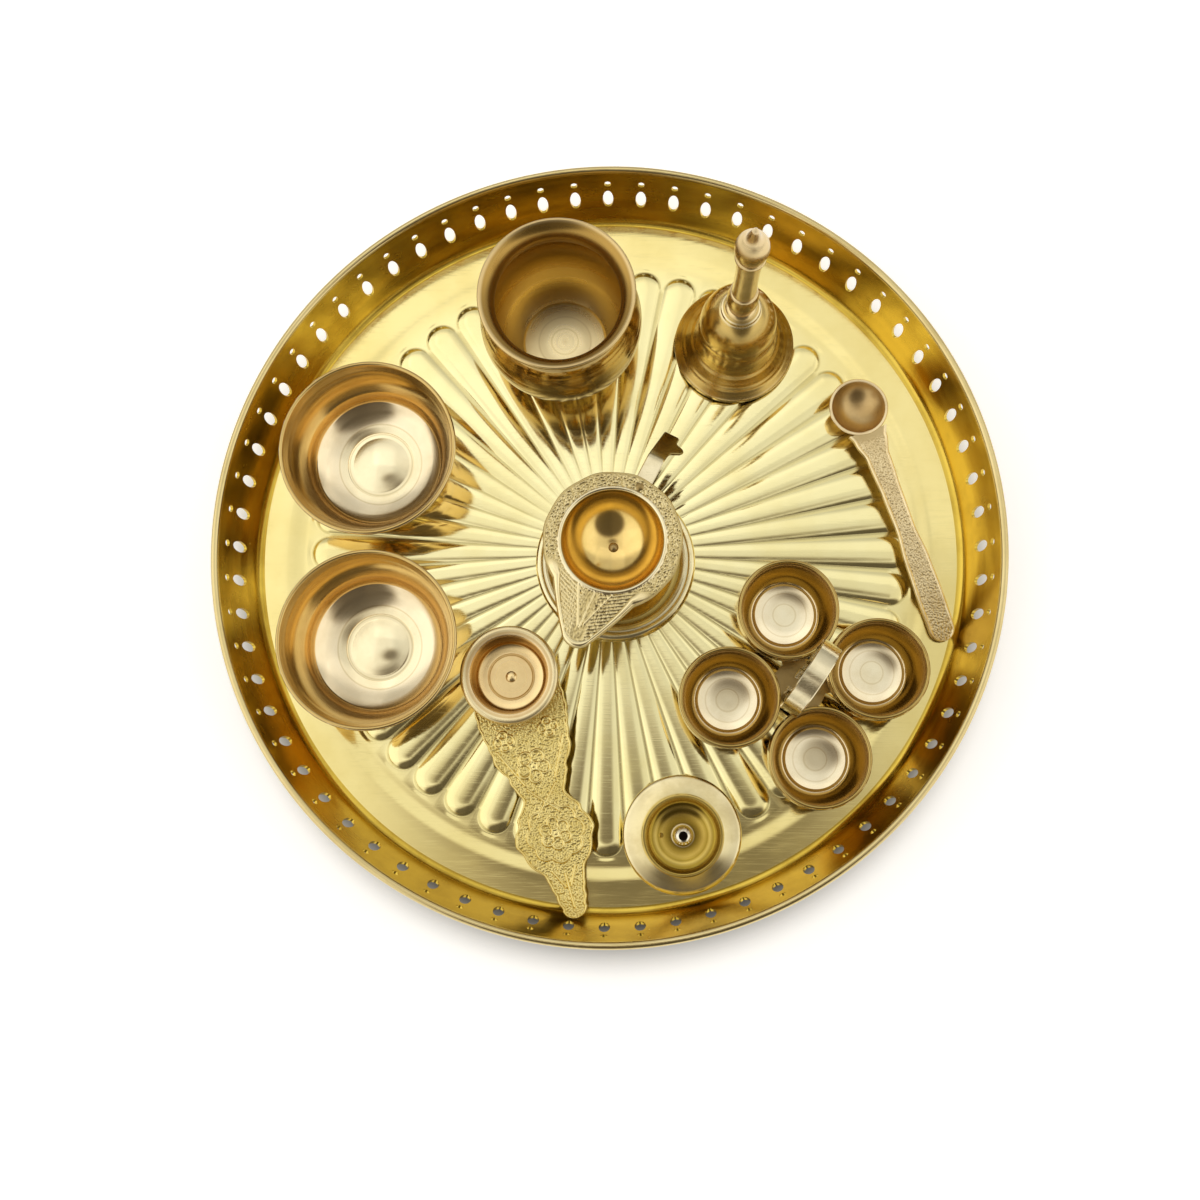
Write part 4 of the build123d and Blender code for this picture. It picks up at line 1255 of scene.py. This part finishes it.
fineRubbing = {"scale": 160.0, "depth": 0.004, "rough": 0.08}
finishes = {
    "plate": {
        "zones": [(0, (0.96, 0.88, 0.50)), (100.0, (0.96, 0.87, 0.46)), (118.0, (0.94, 0.83, 0.41)),
                  (124.0, (0.91, 0.78, 0.35)), (145.0, (0.90, 0.76, 0.32))],
        "dull": (0.89, 0.84, 0.68), "toneScale": 22.0, "toneAmount": 0.6,
        "rough": 0.08, "roughDull": 0.12, "rubbing": {"scale": 60.0, "depth": 0.0025, "rough": 0.07},
        # painted shade in the creases between the flutes and round their ends
        "creaseShade": {"shade": (0.40, 0.31, 0.08), "shadeAmount": 0.42, "rough": 0.1},
    },
    "wall": {
        "clean": (0.74, 0.52, 0.08), "dull": (0.46, 0.29, 0.03), "toneScale": 34.0, "toneAmount": 0.8,
        "rough": 0.16, "roughDull": 0.1, "lathe": {"scale": 700.0, "depth": 0.01, "rough": 0.08},
    },
    "lip": {
        "clean": (0.74, 0.60, 0.29), "dull": (0.58, 0.44, 0.17), "toneScale": 30.0, "toneAmount": 0.6,
        "rough": 0.14, "roughDull": 0.1, "rubbing": {"scale": 90.0, "depth": 0.003, "rough": 0.08},
    },
    "pot": {
        "zones": [(0, (0.50, 0.36, 0.13)), (20.0, (0.56, 0.40, 0.15)), (29.0, (0.60, 0.43, 0.17)),
                  (32.0, (0.52, 0.37, 0.13))],
        # inside the hollow: a pale floor, painted shade darkening the inner wall towards the mouth, a
        # painted highlight on the lip
        "inside": {"rough": 0.13,
                   "zones": [(0, (0.88, 0.73, 0.41)), (1.6, (0.72, 0.57, 0.29)), (2.4, (0.88, 0.73, 0.41)),
                             (5.4, (0.88, 0.73, 0.41)), (5.8, (0.74, 0.59, 0.30)),
                             (6.3, (0.88, 0.73, 0.41)), (10.4, (0.86, 0.71, 0.39)),
                             (10.9, (0.72, 0.57, 0.29)), (11.4, (0.86, 0.71, 0.39)),
                             (16.0, (0.82, 0.66, 0.34)), (17.0, (0.92, 0.71, 0.31)),
                             (24.0, (0.90, 0.68, 0.28)), (34.0, (0.66, 0.47, 0.14)),
                             (42.0, (0.46, 0.31, 0.07)), (48.0, (0.30, 0.19, 0.03)),
                             (51.0, (0.38, 0.23, 0.05)), (55.0, (0.52, 0.32, 0.08)),
                             (59.3, (0.44, 0.27, 0.07)), (60.1, (0.70, 0.52, 0.24))]},
        "dull": (0.72, 0.68, 0.58), "toneScale": 45.0, "toneAmount": 0.5,
        "rough": 0.12, "roughDull": 0.08, "lathe": {"scale": 1000.0, "depth": 0.005, "rough": 0.08},
    },
    "bowl": {
        # painted shade darkening the inner wall from 25.8 mm up to the rim, the floor stays pale
        "zones": [(0, (0.95, 0.85, 0.56)), (12.4, (0.93, 0.82, 0.53)), (12.8, (0.72, 0.60, 0.34)),
                  (13.3, (0.93, 0.82, 0.53)), (16.4, (0.94, 0.82, 0.54)), (16.8, (0.74, 0.61, 0.36)),
                  (17.3, (0.94, 0.81, 0.55)), (24.6, (0.93, 0.78, 0.51)), (25.8, (0.78, 0.58, 0.29)),
                  (27.0, (0.84, 0.63, 0.31)), (30.5, (0.76, 0.56, 0.24)), (34.0, (0.62, 0.44, 0.16)),
                  (34.6, (0.84, 0.68, 0.38)), (36.0, (0.84, 0.68, 0.38))],
        "dull": (0.80, 0.74, 0.64), "toneScale": 40.0, "toneAmount": 0.5,
        "rough": 0.09, "roughDull": 0.1, "lathe": {"scale": 1100.0, "depth": 0.006, "rough": 0.1},
    },
    "cup": {
        # painted shade: the dark band from 13.4 to 19.0 mm darkens the inner wall, floor and rim stay pale
        "zones": [(0, (1.0, 0.91, 0.64)), (4.0, (1.0, 0.90, 0.62)), (4.4, (0.84, 0.72, 0.46)),
                  (4.9, (1.0, 0.90, 0.63)), (8.2, (1.0, 0.89, 0.63)), (8.6, (0.84, 0.71, 0.46)),
                  (9.1, (1.0, 0.89, 0.62)), (12.6, (0.94, 0.79, 0.53)), (13.4, (0.48, 0.34, 0.11)),
                  (16.5, (0.46, 0.32, 0.09)), (19.0, (0.50, 0.36, 0.12)), (19.5, (0.84, 0.67, 0.36)),
                  (20.5, (0.76, 0.59, 0.30))],
        "dull": (0.80, 0.74, 0.62), "toneScale": 60.0, "toneAmount": 0.5,
        "rough": 0.1, "roughDull": 0.06, "lathe": {"scale": 900.0, "depth": 0.004, "rough": 0.06},
    },
    "bell": {
        "zones": [(0, (0.84, 0.68, 0.42)), (5.4, (0.78, 0.60, 0.30)), (6.6, (0.60, 0.42, 0.13)),
                  (7.1, (0.94, 0.81, 0.50)), (7.7, (0.90, 0.76, 0.44)), (8.3, (0.66, 0.47, 0.15)),
                  (15.0, (0.72, 0.51, 0.17)), (23.2, (0.66, 0.46, 0.14)), (24.0, (0.84, 0.65, 0.30)),
                  (25.0, (0.84, 0.65, 0.30))],
        "dull": (0.70, 0.64, 0.52), "toneScale": 50.0, "toneAmount": 0.45,
        "rough": 0.19, "roughDull": 0.08, "lathe": {"scale": 900.0, "depth": 0.004, "rough": 0.08},
    },
    "stand": {
        # near black inside the stick hole, up to 1.62 mm, is painted shade
        "zones": [(0, (0.02, 0.015, 0.01)), (1.62, (0.02, 0.015, 0.01)), (1.75, (0.88, 0.82, 0.66)),
                  (4.2, (0.84, 0.74, 0.52)), (4.6, (0.36, 0.24, 0.03)), (6.6, (0.46, 0.31, 0.05)),
                  (8.0, (0.60, 0.42, 0.09)), (9.4, (0.34, 0.23, 0.03)), (10.4, (0.68, 0.50, 0.13)),
                  (11.6, (0.34, 0.23, 0.03)), (12.6, (0.50, 0.35, 0.06)), (14.4, (0.58, 0.42, 0.10)),
                  (15.4, (0.70, 0.54, 0.18)), (16.2, (0.80, 0.69, 0.38)), (20.6, (0.83, 0.72, 0.42)),
                  (24.0, (0.86, 0.76, 0.47))],
        "dull": (0.74, 0.68, 0.56), "toneScale": 60.0, "toneAmount": 0.6,
        "rough": 0.12, "roughDull": 0.12, "lathe": {"scale": 1300.0, "depth": 0.006, "rough": 0.08},
    },
    "lampBase": {
        # the dark ring at 25.2 mm is a painted shadow in the groove at the foot of the cone
        "zones": [(0, (0.66, 0.50, 0.20)), (22.0, (0.72, 0.57, 0.22)), (24.4, (0.56, 0.42, 0.13)),
                  (25.2, (0.38, 0.26, 0.06)), (26.2, (0.52, 0.40, 0.14)), (27.2, (0.86, 0.78, 0.50)),
                  (28.6, (0.74, 0.66, 0.42)), (29.6, (0.88, 0.78, 0.46)), (32.5, (0.90, 0.80, 0.50))],
        "dull": (0.74, 0.70, 0.58), "toneScale": 60.0, "toneAmount": 0.6,
        "rough": 0.12, "roughDull": 0.12, "lathe": {"scale": 1300.0, "depth": 0.006, "rough": 0.08},
    },
    "burnerCup": {
        # painted shade on the inner wall, the dark band from 12.9 to 14.6 mm
        "zones": [(0, (0.96, 0.75, 0.38)), (8.1, (0.96, 0.74, 0.37)), (8.5, (0.58, 0.38, 0.13)),
                  (9.1, (0.97, 0.76, 0.39)), (12.2, (0.94, 0.71, 0.35)), (12.9, (0.44, 0.25, 0.06)),
                  (14.6, (0.44, 0.26, 0.07)), (15.0, (0.84, 0.66, 0.38)), (16.4, (0.70, 0.52, 0.25)),
                  (17.0, (0.88, 0.75, 0.44)), (19.5, (0.84, 0.69, 0.36))],
        "dull": (0.80, 0.72, 0.62), "toneScale": 70.0, "toneAmount": 0.5,
        "rough": 0.2, "roughDull": 0.12, "lathe": {"scale": 1200.0, "depth": 0.006, "rough": 0.1},
    },
    "handle": {
        "clean": (0.92, 0.76, 0.31), "dull": (0.80, 0.62, 0.19), "toneScale": 90.0, "toneAmount": 0.6,
        "rough": 0.24, "roughDull": 0.12,
        "groundDarkening": {"bright": -0.22, "dark": -0.52, "shade": (0.48, 0.34, 0.07),
                 "shadeAmount": 0.75, "rough": 0.12},
    },
    "leaf": {
        "zones": [(0, (0.88, 0.64, 0.24)), (9.0, (0.90, 0.66, 0.24)), (17.6, (0.80, 0.57, 0.17)),
                  (18.7, (0.54, 0.38, 0.10)), (19.1, (0.90, 0.80, 0.52)), (20.3, (0.88, 0.76, 0.48)),
                  (20.9, (0.92, 0.78, 0.44)), (44.0, (0.95, 0.82, 0.47))],
        "dull": (0.80, 0.74, 0.62), "toneScale": 90.0, "toneAmount": 0.5, "rough": 0.13, "roughDull": 0.1,
        "groundDarkening": {"bright": 0.3, "dark": -0.15, "shade": (0.50, 0.38, 0.14),
                 "shadeAmount": 0.8, "rough": 0.15},
    },
    "spoon": {
        "zones": [(0, (0.62, 0.44, 0.20)), (10.0, (0.60, 0.42, 0.18)), (10.8, (0.86, 0.70, 0.42)),
                  (12.0, (0.92, 0.75, 0.43)), (105.0, (0.94, 0.78, 0.46))],
        "dull": (0.76, 0.70, 0.60), "toneScale": 90.0, "toneAmount": 0.6,
        "rough": 0.3, "roughDull": 0.12, "rubbing": fineRubbing,
        "groundDarkening": {"bright": 0.0, "dark": -0.22, "shade": (0.52, 0.39, 0.18),
                 "shadeAmount": 0.8, "rough": 0.12},
    },
    "pin": {
        "clean": (0.40, 0.28, 0.11), "dull": (0.22, 0.15, 0.05), "toneScale": 120.0, "toneAmount": 0.7,
        "rough": 0.28, "roughDull": 0.15, "rubbing": fineRubbing,
    },
    "lampStrap": {
        # painted shade: the strap turns dark past its bend at 35.4 mm, where it falls away
        "zones": [(0, (0.86, 0.76, 0.50)), (35.4, (0.86, 0.76, 0.50)), (36.6, (0.36, 0.28, 0.11)),
                  (49.0, (0.24, 0.18, 0.06))],
        "dull": (0.72, 0.66, 0.54), "toneScale": 90.0, "toneAmount": 0.5,
        "rough": 0.14, "roughDull": 0.12, "rubbing": fineRubbing,
    },
    "strap": {
        "clean": (0.86, 0.76, 0.50), "dull": (0.60, 0.48, 0.25), "toneScale": 90.0, "toneAmount": 0.5,
        "rough": 0.14, "roughDull": 0.12, "rubbing": fineRubbing,
    },
}


def coat(piece, material):
    piece.data.materials.clear()
    piece.data.materials.append(material)


def dress(piece, material, body, slotName, *replaced):
    coat(piece, material)
    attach(piece, body)
    if replaced:
        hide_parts(*replaced)


dress(makePlateFloor(), makeBrass("plate"), "tray", "plate_brass", "thali_plate")
print("plate floor done")
dress(makePlateWall(), makeBrass("wall"), "tray", "plate_brass", "thali_plate")
dress(makePlateLip(), makeBrass("lip"), "tray", "plate_brass", "thali_plate")
print("plate wall done")
dress(makePot(), makeBrass("pot", seatOf("kalash")), "kalash", "turned_brass", "kalash")
bellBrass = makeBrass("bell", seatOf("bell_body"))
dress(makeBell(), bellBrass, "bell", "turned_brass", "bell_body")
dress(makeBellGrip(), bellBrass, "bell", "turned_brass", "bell_handle")
sameVessels = (("bowl", makeBowl, ("north", "south")), ("cup", makeCup, ("east", "north", "west", "south")))
for kind, makeOne, sides in sameVessels:
    seats = [seatOf(kind + "_" + side) for side in sides]
    vessels = [makeOne(kind + sides[0].title(), seats[0])]
    for side, seat in zip(sides[1:], seats[1:]):
        vessels.append(copied(vessels[0], kind + side.title(), seat - seats[0]))
    for side, seat, piece in zip(sides, seats, vessels):
        node = kind + "_" + side
        body = node if kind == "bowl" else "cup_set"
        dress(piece, makeBrass(kind, seat, node + "Brass"), body, kind + "_brass", node)
dress(makeCupLoop(), makeBrass("strap"), "cup_set", "cup_brass", "cup_handle")
standBrass = makeBrass("stand", seatOf("incense_base"))
dress(makeIncenseStand(), standBrass, "incense_stand", "turned_brass", "incense_base")
dress(makeIncenseBall(), standBrass, "incense_stand", "turned_brass", "incense_ball")
print("vessels done")
lampSeat = seatOf("lamp_pedestal")
dress(makeLampPedestal(), makeBrass("lampBase", lampSeat), "lamp", "lamp_brass", "lamp_pedestal")
dress(makeLampLeaf(), makeBrass("leaf", lampSeat), "lamp", "cast_brass", "lamp_leaf")
dress(makeLampStrap(), makeBrass("lampStrap", lampSeat), "lamp", "lamp_brass", "lamp_handle")
burnerBrass = makeBrass("burnerCup", seatOf("burner_cup"))
dress(makeBurnerCup(), burnerBrass, "burner", "burner_brass", "burner_cup")
dress(makeBurnerHandle(), makeBrass("handle"), "burner", "cast_brass", "burner_handle")
dress(makeSpoon(), makeBrass("spoon", (*spoonSizes["place"], 0)), "spoon", "cast_brass", "spoon")
print("lamp, burner and spoon done")

pinBrass = makeBrass("pin")
kept = (  # nodes shown as they are in the frame
    (bellBrass, ("bell_eye", "clapper_link", "clapper_rod", "clapper_ball")),
    (burnerBrass, ("burner_foot", "burner_rivet")),
    (pinBrass, ("lamp_screw", "lamp_handle_rivet", "cup_frame", "cup_rivets", "cup_handle_rivets")),
)
for material, names in kept:
    for node in names:
        coat(nodes[node], material)


# Ground, light and camera

groundSizes = {"size": 6, "under": -0.0002, "pale": 0.9, "shaded": 0.12, "rough": 0.9, "glow": 0.45,
               "shadeSouth": 8.0, "shadeFrom": 136.0, "shadeTo": 161.0}


def makeGround():
    g = groundSizes
    bpy.ops.object.select_all(action="DESELECT")
    bpy.ops.mesh.primitive_plane_add(size=g["size"], location=(0, 0, g["under"]))
    ground = bpy.context.object
    ground.name = "ground"
    material, tree, shader = newMaterial("groundWhite")
    feed(tree, g["rough"], shader["Roughness"])
    feed(tree, 0.0, shader["Specular IOR Level"])
    feed(tree, (1, 1, 1), shader["Emission Color"])
    path = newNode(tree, "LightPath", {}).outputs
    seen = mathNode(tree, "MAXIMUM", path["Is Camera Ray"], path["Is Glossy Ray"])
    seen = mathNode(tree, "MAXIMUM", seen, path["Is Transmission Ray"])
    where = newNode(tree, "TexCoord", {}).outputs["Object"]
    shift = {"Vector": where, "Location": (0, g["shadeSouth"] * mm, 0)}  # the tray's own shade lies there
    away = awayFromAxis(tree, newNode(tree, "Mapping", shift).outputs[0])
    clear = spread(tree, away, g["shadeFrom"] * mm, g["shadeTo"] * mm)
    feed(tree, times(tree, times(tree, seen, g["glow"]), clear), shader["Emission Strength"])
    pale = times(tree, clear, g["pale"] - g["shaded"])
    feed(tree, plus(tree, pale, g["shaded"]), shader["Base Color"])
    ground.data.materials.append(material)


skySizes = {
    "top": 0.95, "horizon": 0.45, "riseFrom": -0.05, "riseTo": 0.45,
    "sides": 0.28,                       # added to the east and the west
    "lowest": 0.08,                      # of the rise, for the places on a level ceiling
    "east": 0.2, "eastFrom": (-0.02, 0.1), "eastTo": (0.9, 0.5),
    "north": 0.42, "northFrom": (0.5, 1.0),
    "shade": 0.86, "shadeWay": (0.12, -0.68, 0.72), "shadeEdge": (0.80, 0.89),
    "spot": 0.9, "spotEdge": (0.1725, 0.046), "spotWide": 1.5, "spotSouth": 0.03,
    "light": (1.0, 0.985, 0.95), "dusk": (1.0, 0.82, 0.6),
}


def makeSky():  # a white room, with a warm shade to the south and a small one overhead
    s = skySizes
    world = bpy.data.worlds.new("room")
    bpy.context.scene.world = world
    world.use_nodes = True
    tree = world.node_tree
    sky = tree.nodes["Background"].inputs

    def darkened(level, by):
        return times(tree, level, minus(tree, 1.0, by))

    way = newNode(tree, "TexCoord", {}).outputs["Generated"]
    x, y, z = splitUp(tree, way)
    rise = spread(tree, z, s["riseFrom"], s["riseTo"])
    level = plus(tree, times(tree, rise, s["top"] - s["horizon"]), s["horizon"])
    level = plus(tree, level, times(tree, mathNode(tree, "ABSOLUTE", x), s["sides"]))
    up = mathNode(tree, "MAXIMUM", z, s["lowest"])
    u, v = mathNode(tree, "DIVIDE", x, up), mathNode(tree, "DIVIDE", y, up)
    east = times(tree, spread(tree, u, *s["eastFrom"]), spread(tree, u, *s["eastTo"]))
    level = darkened(level, times(tree, east, s["east"]))
    level = darkened(level, times(tree, spread(tree, v, *s["northFrom"]), s["north"]))
    near = newNode(tree, "VectorMath", {0: way, 1: s["shadeWay"]}, operation="DOT_PRODUCT")
    broad = spread(tree, near.outputs["Value"], *s["shadeEdge"])
    far = lengthOf(tree, mathNode(tree, "DIVIDE", u, s["spotWide"]), plus(tree, v, s["spotSouth"]))
    spot = times(tree, spread(tree, far, *s["spotEdge"]), s["spot"])
    shade = times(tree, mathNode(tree, "MAXIMUM", broad, spot), s["shade"])
    level = darkened(level, shade)
    seen = newNode(tree, "LightPath", {}).outputs["Is Camera Ray"]
    white = times(tree, seen, minus(tree, 1.0, level))
    feed(tree, plus(tree, level, white), sky["Strength"])
    feed(tree, mixColor(tree, shade, s["light"], s["dusk"]), sky["Color"])


lamps = [
    {"name": "softboxNorth", "place": (0.1, 0.75, 0.85), "size": 1.2, "power": 0.9},
    {"name": "softboxWest", "place": (-0.85, 0.1, 0.75), "size": 1.2, "power": 0.6},
]


def makeLamps():  # all aimed at the middle of the plate
    for lamp in lamps:
        bpy.ops.object.light_add(type="AREA", location=lamp["place"])
        light = bpy.context.object
        light.name = lamp["name"]
        light.data.energy = lamp["power"]
        light.data.size = lamp["size"]
        light.rotation_euler = (-Vector(lamp["place"])).to_track_quat("-Z", "Y").to_euler()


shot = {"place": (0.016, -0.0983, 0.500), "tiltX": 9.0, "tiltY": 2.14, "lens": 37.75, "sensor": 36,
        "nearest": 0.01}


def makeCamera():
    bpy.ops.object.camera_add(location=shot["place"])
    camera = bpy.context.object
    tilts = [Matrix.Rotation(radians(shot["tilt" + axis]), 3, axis) for axis in "XY"]
    camera.rotation_euler = (tilts[0] @ tilts[1]).to_euler()
    camera.data.sensor_width = shot["sensor"]
    camera.data.lens = shot["lens"]
    camera.data.clip_start = shot["nearest"]
    bpy.context.scene.camera = camera


makeGround()
makeSky()
makeLamps()
makeCamera()
bpy.context.scene.view_settings.view_transform = "Standard"
print("stage done")
